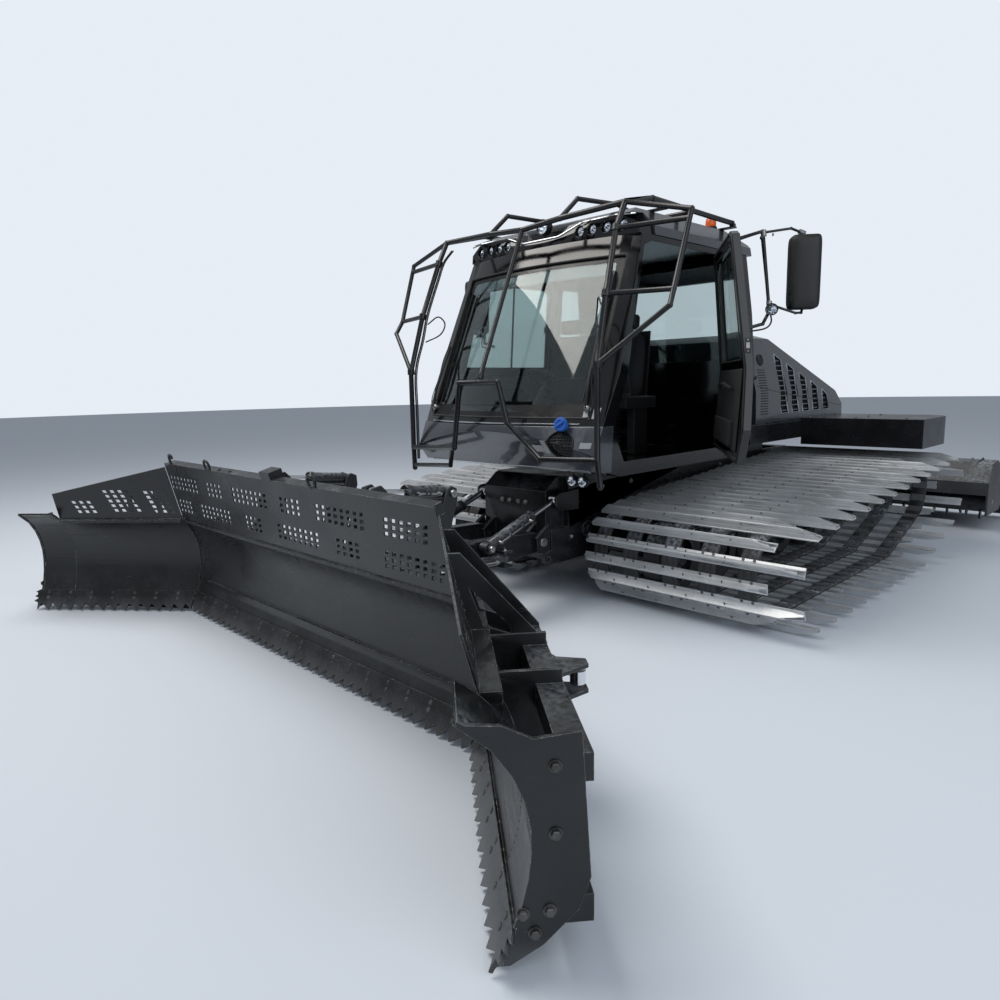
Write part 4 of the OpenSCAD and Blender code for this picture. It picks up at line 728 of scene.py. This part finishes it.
def outline_points(corners, n, shrink=0.0):
    """n points evenly along a closed outline, moved towards its middle by shrink (y, z)."""
    c = np.asarray(corners, float)
    loop = np.concatenate([c, c[:1]])
    s = np.concatenate([[0], np.cumsum(np.linalg.norm(np.diff(loop, axis=0), axis=1))])
    at = np.linspace(0, s[-1], n, endpoint=False)
    p = np.stack([np.interp(at, s, loop[:, 0]), np.interp(at, s, loop[:, 1])], -1)
    middle = (c.max(0) + c.min(0)) / 2
    half = (c.max(0) - c.min(0)) / 2
    return middle + (p - middle) * (1 - np.asarray(shrink) / half)


def framed(corners, bands, depth, lay, n=120):
    """Flat ring laid by lay(a, b, t): its outer edge follows the outline, its inner edge lies bands (a, b)
    further in."""
    rim, hole = outline_points(corners, n), outline_points(corners, n, bands)
    rings = [lay(*rim.T, depth[0]), lay(*hole.T, depth[0]), lay(*hole.T, depth[1]), lay(*rim.T, depth[1])]
    return skin(rings, closed=True)


def patch(a, b, depth, lay, n=12):
    """Thin panel between corners a and b (y or x, z), laid by lay(a, b, t) and as thick as depth says."""
    u = np.linspace(a[0], b[0], n)
    top, low = np.full(n, b[1]), np.full(n, a[1])
    return skin([np.concatenate([lay(u, low, t), lay(u[::-1], top, t)]) for t in depth])


def side_lay(x, z, t):
    """Point on the cab's left side, t inside the skin."""
    return xyz(x, cab_side(z) - t, z)


cab_gloss = painted("cab_gloss_black", (0.0035, 0.0035, 0.0045), rough=0.11, coat=0.3, tone=1.3, settle=0.04)
trim_black = painted("trim_matt_black", (0.009, 0.009, 0.010), rough=0.55, tone=1.6, settle=0.12, bump=0.2,
                     grain=900)
band_black = painted("window_band_black", (0.006, 0.006, 0.007), rough=0.32, tone=1.2, settle=0.0, bump=0.0)
seal_rubber = painted("seal_rubber", (0.010, 0.010, 0.010), rough=0.65, tone=1.4, settle=0.2)
dressed("cab_shell", cab_gloss)
dressed("cab_panels", body_grey, width=0.004)
screen_corners = [[-0.850, 1.480], [0.850, 1.480], [0.830, 2.640], [-0.830, 2.640]]
bands = [framed(screen_corners, (0.075, 0.045), (0.0145, 0.0158), screen_point),
         patch([-0.84, 1.485], [0.84, 1.575], (0.0128, 0.0140), screen_point, 24)]
piece("screen_bands", bands, band_black, "chassis", soft=50)
sun_strip = painted("sun_strip", (0.10, 0.14, 0.18), rough=0.12, tone=1.2, settle=0.0, bump=0.0)
shade = patch([-0.78, 2.50], [0.78, 2.595], (0.0262, 0.0275), screen_point, 24)
piece("sun_strip", [shade], sun_strip, "chassis", soft=50)
seal = piped(screen_point(*outline_points(screen_corners, 160).T, 0.004), 0.009, 8)
piece("screen_seal", [seal], seal_rubber, "chassis", soft=60)
nose_trim = piped(screen_point(np.linspace(-0.80, 0.80, 33), 1.440, -0.006), 0.006, 8)
wave_y = np.linspace(-0.86, 0.86, 61)
wave_z = np.interp(wave_y, (-0.86, -0.60, -0.42, -0.31, -0.19, 0.19, 0.31, 0.42, 0.60, 0.86),
                   (2.925, 2.945, 2.938, 2.900, 2.856, 2.856, 2.900, 2.938, 2.945, 2.925))
wave_x = np.interp(wave_z, (2.806, 2.932, 2.962), (1.350, 1.300, 1.190)) + 0.004
wave_x = np.minimum(wave_x, 1.344 - wave_y ** 2 / 9.4)
visor_line = piped(xyz(wave_x, wave_y, wave_z), 0.006, 8)
piece("bright_lines", [nose_trim, visor_line], bright_trim, "chassis")

# Wipers: a long arm and blade, with its washer hose, stands along each windscreen pillar on a turned
# spindle; blades and arms follow the curve of the screen.
for side, y in (("left", 1), ("right", -1)):
    spine, blade = [screen_point(y * np.linspace(0.800, 0.775, 12), np.linspace(1.60, 2.52, 12), t)
                    for t in (-0.030, 0.004)]
    arm, hose = [curve([screen_point(y * a, z, t) for a, z, t in path], 8) for path in (
        ((0.83, 1.545, -0.020), (0.825, 1.70, -0.052), (0.80, 2.06, -0.045)),
        ((0.85, 1.50, -0.01), (0.87, 1.62, -0.05), (0.835, 1.80, -0.055), (0.86, 1.95, -0.05),
         (0.81, 2.10, -0.05)))]
    foot = [screen_point(y * 0.83, 1.545, 0.0)], (math.cos(math.radians(23)), 0, math.sin(math.radians(23)))
    spindle = set_at(lathed([(0.026, -0.02), (0.026, 0.018), (0.018, 0.030), (0.010, 0.032),
                             (0.010, 0.028)], 20), *foot)
    lip_line = ((0.020, -0.002), (-0.006, -0.004), (-0.006, 0.004), (0.020, 0.002))
    lip = skin([blade + (a, b, 0) for a, b in lip_line], closed=True)
    shapes = [piped(spine, 0.008, 8), piped(arm, 0.010, 8), piped(hose, 0.004, 6), *kind(1, spindle), lip]
    piece("wiper_" + side, shapes, [trim_black, zinc], "chassis", soft=50)

# Lamps: each a black bezel, a chrome bowl and a clear lens, lathed and set in the visor's pockets; the
# searchlight has its round housing and stalk, the beacon an orange dome on a black foot.
lens, tree, shader = node_material("lamp_lens_clear")
place = wired(tree, "ShaderNodeTexCoord", {}).outputs["Object"]
ribs = wired(tree, "ShaderNodeTexWave", {"Scale": 60.0, "Vector": place}).outputs["Fac"]
lens_bump = wired(tree, "ShaderNodeBump", {"Strength": 0.15, "Distance": 0.002, "Height": ribs}).outputs[0]
feed(shader, {"Base Color": (0.95, 0.97, 1.0, 1), "Transmission Weight": 1.0, "Roughness": 0.05,
              "Normal": lens_bump})
bowl_chrome = painted("lamp_bowl_chrome", (0.90, 0.91, 0.92), rough=0.08, metal=1.0, tone=0.97, settle=0.0,
                      bump=0.0)
beacon_orange, tree, shader = node_material("beacon_orange")
feed(shader, {"Base Color": (0.90, 0.16, 0.02, 1), "Transmission Weight": 0.5, "Roughness": 0.12})


def lamp(r):
    """Lamp of radius r looking along Z: bezel, bowl, bulb shade and domed lens, each with its material."""
    bezel = [(0.86, -0.9), (1.0, -0.8), (1.0, 0.16), (0.96, 0.24), (0.88, 0.20), (0.86, 0.0), (0.855, -0.88)]
    bowl = [(0.10, -0.80), (0.30, -0.76), (0.60, -0.52), (0.80, -0.18), (0.855, 0.0), (0.84, 0.0),
            (0.58, -0.50), (0.28, -0.73), (0.10, -0.77)]
    bulb = [(0.16, -0.72), (0.20, -0.30), (0.10, -0.22)]
    dome = [(0.855, 0.02), (0.855, 0.06), (0.5, 0.13), (0.05, 0.15), (0.05, 0.10), (0.5, 0.08)]
    return [(*lathed(r * np.array(profile), count), index) for profile, count, index in (
        (bezel, 36, 0), (bowl, 36, 1), (bulb, 20, 1), (dome, 36, 2))]


def lamps(r, places, up=AHEAD):
    """Lamps of radius r at the places, looking along up."""
    return [set_at(shape, places, up) for shape in lamp(r)]


shapes = both(lamps(0.038, [[1.318 - y * y / 9.4 - 0.012, y, 2.866] for y in (0.385, 0.494, 0.616, 0.751)]))
shapes += lamps(0.060, [[1.302, 0, 2.960]])
beacon_at = [[-0.080, 0.700, 3.004]]
shapes += [set_at(lathed([(0.016, 0), (0.016, 0.055), (0.024, 0.060), (0.024, 0.068)], 16),
                  [[1.275, 0, 2.842]]),
           set_at(lathed([(0.052, 0), (0.054, 0.010), (0.050, 0.022), (0.044, 0.024)], 28), beacon_at)]
dome = lathed([(0.044, 0.020), (0.046, 0.050), (0.040, 0.085), (0.026, 0.104), (0.006, 0.109)], 28)
shapes += kind(3, set_at(dome, beacon_at))
lamp_paints = [trim_black, bowl_chrome, lens, beacon_orange]
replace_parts(piece("cab_lamps_dressed", shapes, lamp_paints, "chassis", soft=40), "cab_lamps")

glass, tree, shader = node_material("cab_glass_tinted")
grime = wired(tree, "ShaderNodeGroup", {"Scale": 1.4}, node_tree=WEATHER).outputs["Blotch"]
feed(shader, {"Base Color": (0.50, 0.59, 0.58, 1), "Transmission Weight": 1.0,
              "Roughness": spread(tree, grime, 0.0, 1.0, 0.0, 0.05)})
for node in ("cab_glass", "door_left_glass", "door_right_glass"):
    painted_node(node, glass)

# Guard cage: welded steel tube in the frame's black, with bolted clamps where tubes meet, cables strapped
# along the uprights and a cross tube over the roof.

dressed("guard_cage", frame_paint, width=0.001)
clamp = lathed([(0.030, -0.022), (0.030, 0.022), (0.0215, 0.022)], 20)
collar = lathed([(0.026, -0.02), (0.026, 0.02), (0.0185, 0.02)], 20)
cage_shapes = both([set_at(clamp, [[1.903, 1.005, 1.848]], UP),
                    set_at(clamp, [[1.773, 0.980, 2.318]], (0.27, 0.05, -0.95)),
                    set_at(clamp, [[1.606, 0.938, 2.767]], (0.33, 0.08, -0.93))])
cage_shapes += [set_at(collar, [[2.03, 0, 1.79]], (0.4, 0, -0.91)),
                piped([[0.50, -0.862, 3.044], [0.50, 0.862, 3.044]], 0.018, 12)]
piece("cage_clamps", cage_shapes, frame_paint, "chassis")
cable = curve([[1.878, 0.985, 1.10], [1.880, 0.980, 1.50], [1.876, 0.978, 1.85], [1.800, 0.962, 2.12],
               [1.748, 0.950, 2.33], [1.64, 0.925, 2.62], [1.585, 0.905, 2.77], [1.50, 0.88, 2.88]], 6)
loop_cable = curve([[1.76, 0.93, 2.25], [1.70, 0.86, 2.31], [1.66, 0.82, 2.25], [1.70, 0.84, 2.16],
                    [1.79, 0.93, 2.10]], 6)
cables = [piped(cable, 0.007, 8), piped(cable + (-0.012, -0.006, 0), 0.005, 8), piped(loop_cable, 0.006, 8)]
piece("cage_cables", both(cables), seal_rubber, "chassis")

# Doors: gloss black frames with a lined inside, rubber seals, a lever, a latch plate and a mirror with its
# lamp. Their pieces are drawn on the closed left door; the left one stands 35 degrees open, so its pieces
# are turned about the hinges with it.

door_hinge, door_turn = np.array([0.100, 1.015, 0.0]), math.radians(35)
window_corners = [[0.210, 1.860], [1.330, 1.860], [1.160, 2.560], [1.080, 2.650], [0.240, 2.650],
                  [0.210, 2.600]]
door_corners = [[0.150, 1.190], [1.485, 1.190], [1.615, 1.405], [1.200, 2.685], [1.110, 2.715],
                [0.160, 2.715]]


def on_doors(name, shapes, materials, bevel=0.0, soft=35.0):
    """The shapes made a piece of each door: y goes to -y on the right, and a point p to
    h + R(35 degrees) (p - h) about the left one's hinge h."""
    c, s = math.cos(door_turn), math.sin(door_turn)
    turn = np.array([[c, s, 0], [-s, c, 0], [0, 0, 1]])
    swung = [((p - door_hinge) @ turn + door_hinge, *rest) for p, *rest in shapes]
    for side, placed in (("left", swung), ("right", mirrored(shapes))):
        piece(f"{name}_{side}", placed, materials, "door_" + side, bevel, soft)


def side_loop(corners, t, r, n=160):
    """Tube of radius r round an outline (x, z) on the cab's side, t inside the skin."""
    o = outline_points(corners, n)
    return piped(np.concatenate([side_lay(*o.T, t), side_lay(*o[:1].T, t)]), r, 8)


def power(v, k):
    """The sign of v with |v|^k."""
    return np.sign(v) * np.abs(v) ** k


def plate_ring(x, inset, n=40):
    """Ring of the mirror's head across X: y = 1.438 + a |cos t|^0.2 and z = 2.492 + b |sin t|^0.2, each
    with its sign, where a = 0.108 - inset and b = 0.262 - inset."""
    t = circle(n)
    y, z = (0.108 - inset) * power(np.cos(t), 0.2), (0.262 - inset) * power(np.sin(t), 0.2)
    return xyz(x, 1.438 + y, 2.492 + z)


for node in ("door_left", "door_right"):
    dressed(node, cab_gloss, width=0.004)
shell_plastic = painted("mirror_shell_plastic", (0.010, 0.010, 0.011), rough=0.48, tone=1.5, settle=0.15,
                        grain=260, bump=0.5)
mirror_glass = painted("mirror_glass", (0.55, 0.60, 0.64), rough=0.03, metal=1.0, tone=0.95, settle=0.05,
                       bump=0.0)
lining_grey = painted("door_lining", (0.020, 0.021, 0.023), rough=0.7, tone=1.5, settle=0.1, grain=700,
                      bump=0.35)
shell_steps = ((0.6475, 0.016), (0.638, 0.012), (0.638, 0.004), (0.648, 0.0), (0.700, 0.0), (0.752, 0.001),
               (0.767, 0.010), (0.776, 0.034), (0.780, 0.070))
shapes = [skin([plate_ring(*step) for step in shell_steps])]
shapes += kind(1, skin([plate_ring(0.6470, 0.0165), plate_ring(0.6452, 0.0165)]))
shapes += [piped([[0.6445, 1.345, 2.360], [0.6445, 1.532, 2.360]], 0.003, 6)]
on_doors("mirror_shell", shapes, [shell_plastic, mirror_glass], soft=50)
lead = [[0.866, 1.188, 2.190], [0.880, 1.190, 2.130], [0.915, 1.140, 2.085], [0.945, 1.000, 2.065]]
work_lamp = lamps(0.043, [[0.893, 1.188, 2.222]], (1.0, -0.30, -0.05))
work_lamp += [piped([[0.852, 1.180, 2.235], [0.880, 1.186, 2.225]], 0.008, 8),
              piped(curve(lead, 6), 0.006, 8)]
on_doors("mirror_lamp", work_lamp, [trim_black, bowl_chrome, lens], soft=40)
clamp = lathed([(0.020, -0.022), (0.020, 0.022), (0.0125, 0.022)], 16)
clamps = [set_at(clamp, [place], up) for place, up in (
    ([0.832, 1.125, 2.760], (0.04, 0.11, -1.0)), ([0.850, 1.178, 2.262], (0.03, 0.08, -1.0)),
    ([0.705, 1.412, 2.772], (0.4, -0.9, 0.3)))]
clamps += bolts([[0.845, 1.185, 2.745], [0.865, 1.200, 2.255]], LEFT, 0.009)
on_doors("mirror_clamps", clamps, zinc)
seals = [side_loop(window_corners, -0.001, 0.007), side_loop(window_corners, 0.050, 0.006),
         side_loop(door_corners, 0.052, 0.009)]
on_doors("door_seals", seals, seal_rubber, soft=60)
band = [framed(window_corners, (0.030, 0.026), (0.0180, 0.0196), side_lay),
        patch([0.700, 1.870], [0.725, 2.645], (0.0180, 0.0196), side_lay, 4)]
on_doors("door_window_band", band, band_black, soft=50)
pull = np.array([[0.62, 1.66, 0.060], [0.64, 1.68, 0.105], [0.86, 1.70, 0.110], [1.10, 1.68, 0.105],
                 [1.12, 1.66, 0.060]])
lining = [patch([0.230, 1.240], [1.420, 1.800], (0.0505, 0.0620), side_lay, 20),
          patch([0.330, 1.270], [1.250, 1.440], (0.0615, 0.0900), side_lay, 16),
          piped(curve(side_lay(*pull.T), 6), 0.012, 10)]
on_doors("door_lining", lining, lining_grey, 0.006)
edge_up, latch_at = (0.950, 0.0, 0.311), [[1.4613, 0.950, 1.947]]
screw_heads = lathed([(0.005, 0.0020), (0.005, 0.0034), (0.003, 0.0038)], 10)
latch = [set_at(block(0.018, 0.052, -0.001, 0.0020), latch_at, edge_up, LEFT)]
latch += kind(1, set_at(block(0.011, 0.020, 0.0015, 0.0042), latch_at, edge_up, LEFT),
              set_at(screw_heads, [[1.4495, 0.950, 1.984], [1.4731, 0.950, 1.910]], edge_up))
on_doors("door_latch", latch, [trim_black, zinc])
grip = np.array([[1.32, 1.73, -0.004], [1.33, 1.73, -0.030], [1.38, 1.735, -0.036], [1.43, 1.74, -0.030],
                 [1.44, 1.74, -0.004]])
lever = [patch([1.300, 1.700], [1.460, 1.760], (-0.0060, 0.001), side_lay, 8),
         piped(curve(side_lay(*grip.T), 5), 0.009, 10)]
on_doors("door_lever", lever, trim_black, 0.003)

# Seats: two sprung seats on bellows pillars with plastic shells. Cushion, back and headrest are crowned
# pads of black cloth whose sides pull in between the corners, with sewn channels and piped seams.


def pad(half, channels, crown, n=72, rows=30):
    """Pad of half sizes a, b, c round Z. With w(v, k) = |v|^k and v's sign, and with
    f = |cos p|^0.35 (1 - 0.04 cos^2 2t), it is x = a w(cos t, 0.45) f, y = b w(sin t, 0.45) f and
    z = c w(sin p, 0.7). Its top rises by crown (1 - (x/a)^2) (1 - (y/b)^2) and two bolsters, and sinks
    along each channel's x and along two seams at y = 0.56 b."""
    t = circle(n)[None]
    p = np.linspace(-np.pi / 2 + 0.05, np.pi / 2 - 0.05, rows)[:, None]
    f = np.abs(np.cos(p)) ** 0.35 * (1 - 0.04 * np.cos(2 * t) ** 2)
    x, y = half[0] * power(np.cos(t), 0.45) * f, half[1] * power(np.sin(t), 0.45) * f
    z = half[2] * power(np.sin(p), 0.7) * np.ones_like(t)
    top = p > 0
    swell = crown * (1 - (x / half[0]) ** 2) * (1 - (y / half[1]) ** 2)
    bolster = 0.016 * np.exp(-((np.abs(y) - 0.74 * half[1]) / (0.16 * half[1])) ** 2)
    z = z + np.where(top, 1.0, 0.2) * (swell + bolster * top)
    for at in channels:
        z = z - top * 0.010 * np.exp(-((x - at) / 0.007) ** 2) * (np.abs(y) < 0.80 * half[1])
    groove = np.exp(-((np.abs(y) - 0.56 * half[1]) / 0.006) ** 2)
    return skin(xyz(x, y, z - top * 0.008 * groove))


def seam(half, n=97):
    """Piping round the pad's widest line, pulled in as the pad is."""
    t = np.linspace(0, 2 * np.pi, n)
    f = 1 - 0.04 * np.cos(2 * t) ** 2
    x, y = half[0] * power(np.cos(t), 0.45) * f, half[1] * power(np.sin(t), 0.45) * f
    return piped(xyz(x, y, 0), 0.0045, 6)


seat_cloth = painted("seat_cloth", (0.017, 0.018, 0.021), rough=0.88, tone=1.6, settle=0.0, scale=9.0,
                     grain=1500.0, bump=0.45)
leaning_up, leaning_ahead = (1, 0, 0.112), (-0.112, 0, 1)
pad_sets = (
    ("cushion", (0.262, 0.250, 0.058), (-0.13, -0.01, 0.11), 0.020, (0.525, 1.485), (0.03, 0, 1), AHEAD),
    ("back", (0.300, 0.238, 0.048), (-0.16, -0.03, 0.10), 0.014, (0.222, 1.870), leaning_up, leaning_ahead),
    ("headrest", (0.070, 0.150, 0.040), (), 0.012, (0.172, 2.262), leaning_up, leaning_ahead))
shell_line = [[0.150, 1.560], [0.172, 1.560], [0.112, 2.180], [0.095, 2.180]]
tray_line = [[0.265, 1.395], [0.785, 1.395], [0.790, 1.440], [0.262, 1.440]]
rail_line = [[0.330, 1.086], [0.720, 1.086], [0.720, 1.104], [0.330, 1.104]]
bellows = [[0.180 - 0.012 * (k % 2), 1.100 + 0.022 * k] for k in range(14)]
for seat, y in (("driver", 0.0), ("passenger", -0.620)):
    for label, half, channels, crown, place, up, ahead_of in pad_sets:
        at = [[place[0], y, place[1]]]
        shapes = [set_at(shape, at, up, ahead_of) for shape in (pad(half, channels, crown), seam(half))]
        cushion = piece(f"seat_{label}_{seat}", shapes, seat_cloth, "chassis", soft=60)
        smooth = cushion.modifiers.new("smooth", "SUBSURF")
        smooth.levels = smooth.render_levels = 1
        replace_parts(cushion, "seats")
    shell = drawn(shell_line, y - 0.225, y + 0.225, "xzy")
    tray = drawn(tray_line, y - 0.235, y + 0.235, "xzy")
    pillar = set_at(lathed(bellows, 32), [[0.525, y, 0]])
    buckle = set_at(block(0.012, 0.022, 0, 0.085), [[0.330, y + 0.262, 1.470]], (0.2, 0, 1), LEFT)
    lever = piped(curve([[0.30, y - 0.245, 1.430], [0.40, y - 0.262, 1.435], [0.47, y - 0.262, 1.445]], 5),
                  0.009, 8)
    rails = [drawn(rail_line, y + side * 0.120, y + side * 0.150, "xzy") for side in (1, -1)]
    posts = [piped([[0.150, y + side * 0.060, 2.120], [0.140, y + side * 0.060, 2.210]], 0.007, 8)
             for side in (-1, 1)]
    parts = [shell, tray, *kind(1, pillar), buckle, lever, *kind(2, *rails, *posts)]
    paints = [trim_black, seal_rubber, zinc]
    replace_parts(piece("seat_frame_" + seat, parts, paints, "chassis", 0.004, 40), "seats")

# Console: dash and armrest in grained black plastic with two dark screens in bezels, a control lever in its
# boot, rows of small keys, and the steering wheel on its column.

dressed("console", trim_black, width=0.010)
screen_dark = painted("screen_glass", (0.004, 0.005, 0.007), rough=0.06, coat=0.3, tone=1.2, settle=0.0,
                      bump=0.0)
key_grey = painted("key_grey", (0.10, 0.10, 0.11), rough=0.5, tone=1.4, settle=0.0)
dash = []
for place, look, a, b in (([1.515, 0.46, 1.660], (-1, -0.15, 0.25), 0.135, 0.090),
                          ([0.800, 0.372, 1.700], (-1, -0.40, 0.30), 0.090, 0.065)):
    dash += [set_at(block(a + 0.012, b + 0.012, -0.022, 0.0), [place], look, LEFT),
             *kind(1, set_at(block(a, b, -0.001, 0.003), [place], look, LEFT))]
dash += [piped([[1.545, 0.46, 1.540], [1.535, 0.46, 1.640]], 0.016, 10),
         piped(curve([[0.735, 0.372, 1.590], [0.800, 0.374, 1.610], [0.812, 0.372, 1.680]], 5), 0.011, 10)]
boot = [(0.045, 1.598), (0.040, 1.612), (0.043, 1.616), (0.032, 1.630), (0.034, 1.634), (0.018, 1.652),
        (0.014, 1.660), (0.014, 1.690), (0.024, 1.706), (0.027, 1.740), (0.022, 1.768), (0.008, 1.780)]
dash.append(set_at(lathed(boot, 24), [[0.660, 0.360, 0]]))
keys = [[x, y, 1.6005] for x in (0.40, 0.44, 0.48, 0.52) for y in (0.335, 0.360, 0.385)]
dash += kind(2, set_at(block(0.013, 0.009, -0.002, 0.004), keys))
turn_at = np.linspace(0, 2 * np.pi, 49)
ring = piped(xyz(0.165 * np.cos(turn_at), 0.165 * np.sin(turn_at), 0.02), 0.013, 12)
boss = lathed([(0.030, -0.030), (0.042, -0.012), (0.042, 0.012), (0.030, 0.018)], 24)
spoke_ways = [np.array([math.cos(a), math.sin(a), 0]) for a in np.radians((90, 210, 330))]
spokes = [piped([0.02 * way, 0.160 * way + (0, 0, 0.018)], 0.010, 8) for way in spoke_ways]
dash += [set_at(shape, [[1.290, 0.0, 1.715]], (-0.62, 0.0, 0.78), LEFT)
         for shape in (ring, boss, *spokes)]
dash.append(piped([[1.480, 0.0, 1.470], [1.300, 0.0, 1.700]], 0.026, 16))
piece("dash_fittings", dash, [trim_black, screen_dark, key_grey], "chassis", soft=50)

# Nose fittings: a blue filler cap, wire mesh in the round inlet, a bright rail along the foot, blank
# stickers and a blank plate that carry no words, and two small round lamps under the nose.


def nose_point(y, z, t):
    """Point on the nose, t inside its skin: the nearer of the screen's curve and the slope
    x = 1.8666 + 0.7 (z - 1.2)."""
    x = np.minimum(screen_point(y, z, t - 0.008)[..., 0], 1.8666 + 0.7 * (z - 1.2) - 1.22 * t)
    return xyz(x, y, z)


cap_blue = painted("cap_blue", (0.015, 0.10, 0.42), rough=0.4, tone=1.3, settle=0.1)
blank_white = painted("blank_sticker", (0.55, 0.56, 0.57), rough=0.5, tone=0.8, settle=0.0, bump=0.0)
inlet_y, inlet_z, inlet_r = 0.690, 1.290, 0.105
rim_y, rim_z = inlet_y + inlet_r * np.cos(turn_at), inlet_z + inlet_r * np.sin(turn_at)
inlet = [piped(nose_point(rim_y, rim_z, -0.003), 0.007, 8)]
for off in np.linspace(-0.088, 0.088, 9):
    wide = math.sqrt(inlet_r ** 2 - off ** 2) * np.linspace(-1, 1, 7)
    inlet += [piped(nose_point(inlet_y + wide, inlet_z + off, 0.003), 0.0025, 5),
              piped(nose_point(inlet_y + off, inlet_z + wide, 0.003), 0.0025, 5)]
boss = lathed([(0.034, -0.010), (0.036, 0.006), (0.026, 0.016), (0.012, 0.017)], 24)
inlet.append(set_at(boss, [nose_point(inlet_y - 0.015, inlet_z, 0.004)], (1, 0, -0.4)))
cap_at, cap_up = [[1.906, 0.700, 1.436]], (1, 0.2, 0.3)
cap = lathed([(0.040, -0.020), (0.040, 0.010), (0.050, 0.012), (0.052, 0.030), (0.047, 0.040), (0.030, 0.042),
              (0.028, 0.036), (0.008, 0.036)], 28)
inlet += kind(1, set_at(cap, cap_at, cap_up),
              set_at(block(0.040, 0.009, 0.030, 0.052), cap_at, cap_up, (0, 1, 0.8)))
piece("nose_fittings", inlet, [trim_black, cap_blue], "chassis", soft=40)
rail = piped(nose_point(np.linspace(-0.86, 0.86, 41), 1.104, 0.004), 0.011, 10)
strip = patch([0.845, 1.275], [0.925, 1.315], (-0.0040, 0.001), nose_point, 6)
piece("nose_rail", [rail, strip], bright_trim, "chassis", soft=50)
blanks = [patch([0.395, 1.236], [0.520, 1.286], (-0.0012, 0.0), nose_point, 6),
          patch([0.524, 1.225], [0.574, 1.325], (-0.0015, 0.0), nose_point, 6)]
blanks += [patch([y, 1.478], [y + 0.050, 1.552], (-0.0012, 0.0), screen_point, 6) for y in (0.806, 0.872)]
piece("blank_stickers", blanks, blank_white, "chassis")
under_y = (0.565, 0.665)
under = lamps(0.042, [[1.640, y, 0.996] for y in under_y], (1, 0.1, 0))
for y in under_y:
    stem = [[y - 0.010, 1.000], [y + 0.010, 1.000], [y + 0.010, 1.054], [y - 0.010, 1.054]]
    under.append(drawn(stem, 1.612, 1.618, "yzx"))
piece("nose_lamps", under, [trim_black, bowl_chrome, lens], "chassis", soft=40)

# Tiller lift, tiller and finisher: thick black arms, a curved steel hood with ribs and bolts, the rotor
# with its cutting teeth, and the ribbed rubber flap that combs the snow.

dressed("rear_lift", frame_paint, frame_edge, 0.003)
tiller_paint = painted("tiller_grey", (0.030, 0.031, 0.033), rough=0.5, settle=0.9, streak=(6, 6, 6, 0.63),
                       bare=(0.24, 0.25, 0.26))
dressed("tiller_hood", tiller_paint, width=0.003)
painted_node("tiller_rotor", frame_paint)
painted_node("finisher", rubber)
hood_line = np.array([[-3.333, 0.560], [-3.452, 0.7615], [-3.700, 0.7815], [-4.050, 0.6010], [-4.148, 0.425]])
rib_rise = np.array([[0.0, 0.0], [-0.010, 0.016], [-0.002, 0.020], [-0.016, 0.012], [-0.004, 0.0]])
rib_line = np.concatenate([hood_line - (0, 0.004), (hood_line + rib_rise)[::-1]])
ribs = [drawn(rib_line, y - 0.006, y + 0.006, "xzy") for y in np.linspace(-2.10, 2.10, 13) if abs(y) > 0.45]
piece("tiller_ribs", ribs, tiller_paint, "tiller", 0.0015)
hood_bolts = [[-3.700, y, 0.780] for y in np.arange(-2.00, 2.01, 0.20) if abs(y) > 0.2]
flap_bolts = [[-4.1445, y, 0.470] for y in np.arange(-2.15, 2.16, 0.215)]
heads = bolts(hood_bolts, UP, 0.012) + bolts(flap_bolts, (-0.872, 0, 0.489), 0.010, LEFT)
piece("tiller_bolts", heads, zinc, "tiller")
comb_line = np.array([[-4.160, 0.4165], [-4.310, 0.2205], [-4.440, 0.1475], [-4.592, 0.0635]])
tooth_line = np.concatenate([comb_line - (0, 0.004), comb_line[::-1] + (-0.004, 0.009)])
comb = [drawn(tooth_line, y - 0.008, y + 0.008, "xzy") for y in np.arange(-2.20, 2.21, 0.10)]
piece("finisher_comb", comb, rubber, "tiller")
flap_red = painted("flap_edge_red", (0.22, 0.018, 0.014), rough=0.6, tone=1.4, settle=0.3)
edge_line = [[-4.152, 0.4230], [-4.166, 0.4235], [-4.205, 0.3700], [-4.198, 0.3560]]
strip = drawn(edge_line, -2.240, 2.240, "xzy")
piece("flap_edge", [strip], flap_red, "tiller", 0.0015)
lift_pins = both(pin_head([[-2.480, 0.366, 0.630]], LEFT, 0.040))
lift_pins += pin_head([[-3.050, 0.064, 0.640]], LEFT, 0.026)
piece("rear_lift_pins", lift_pins, zinc, "rear_lift")
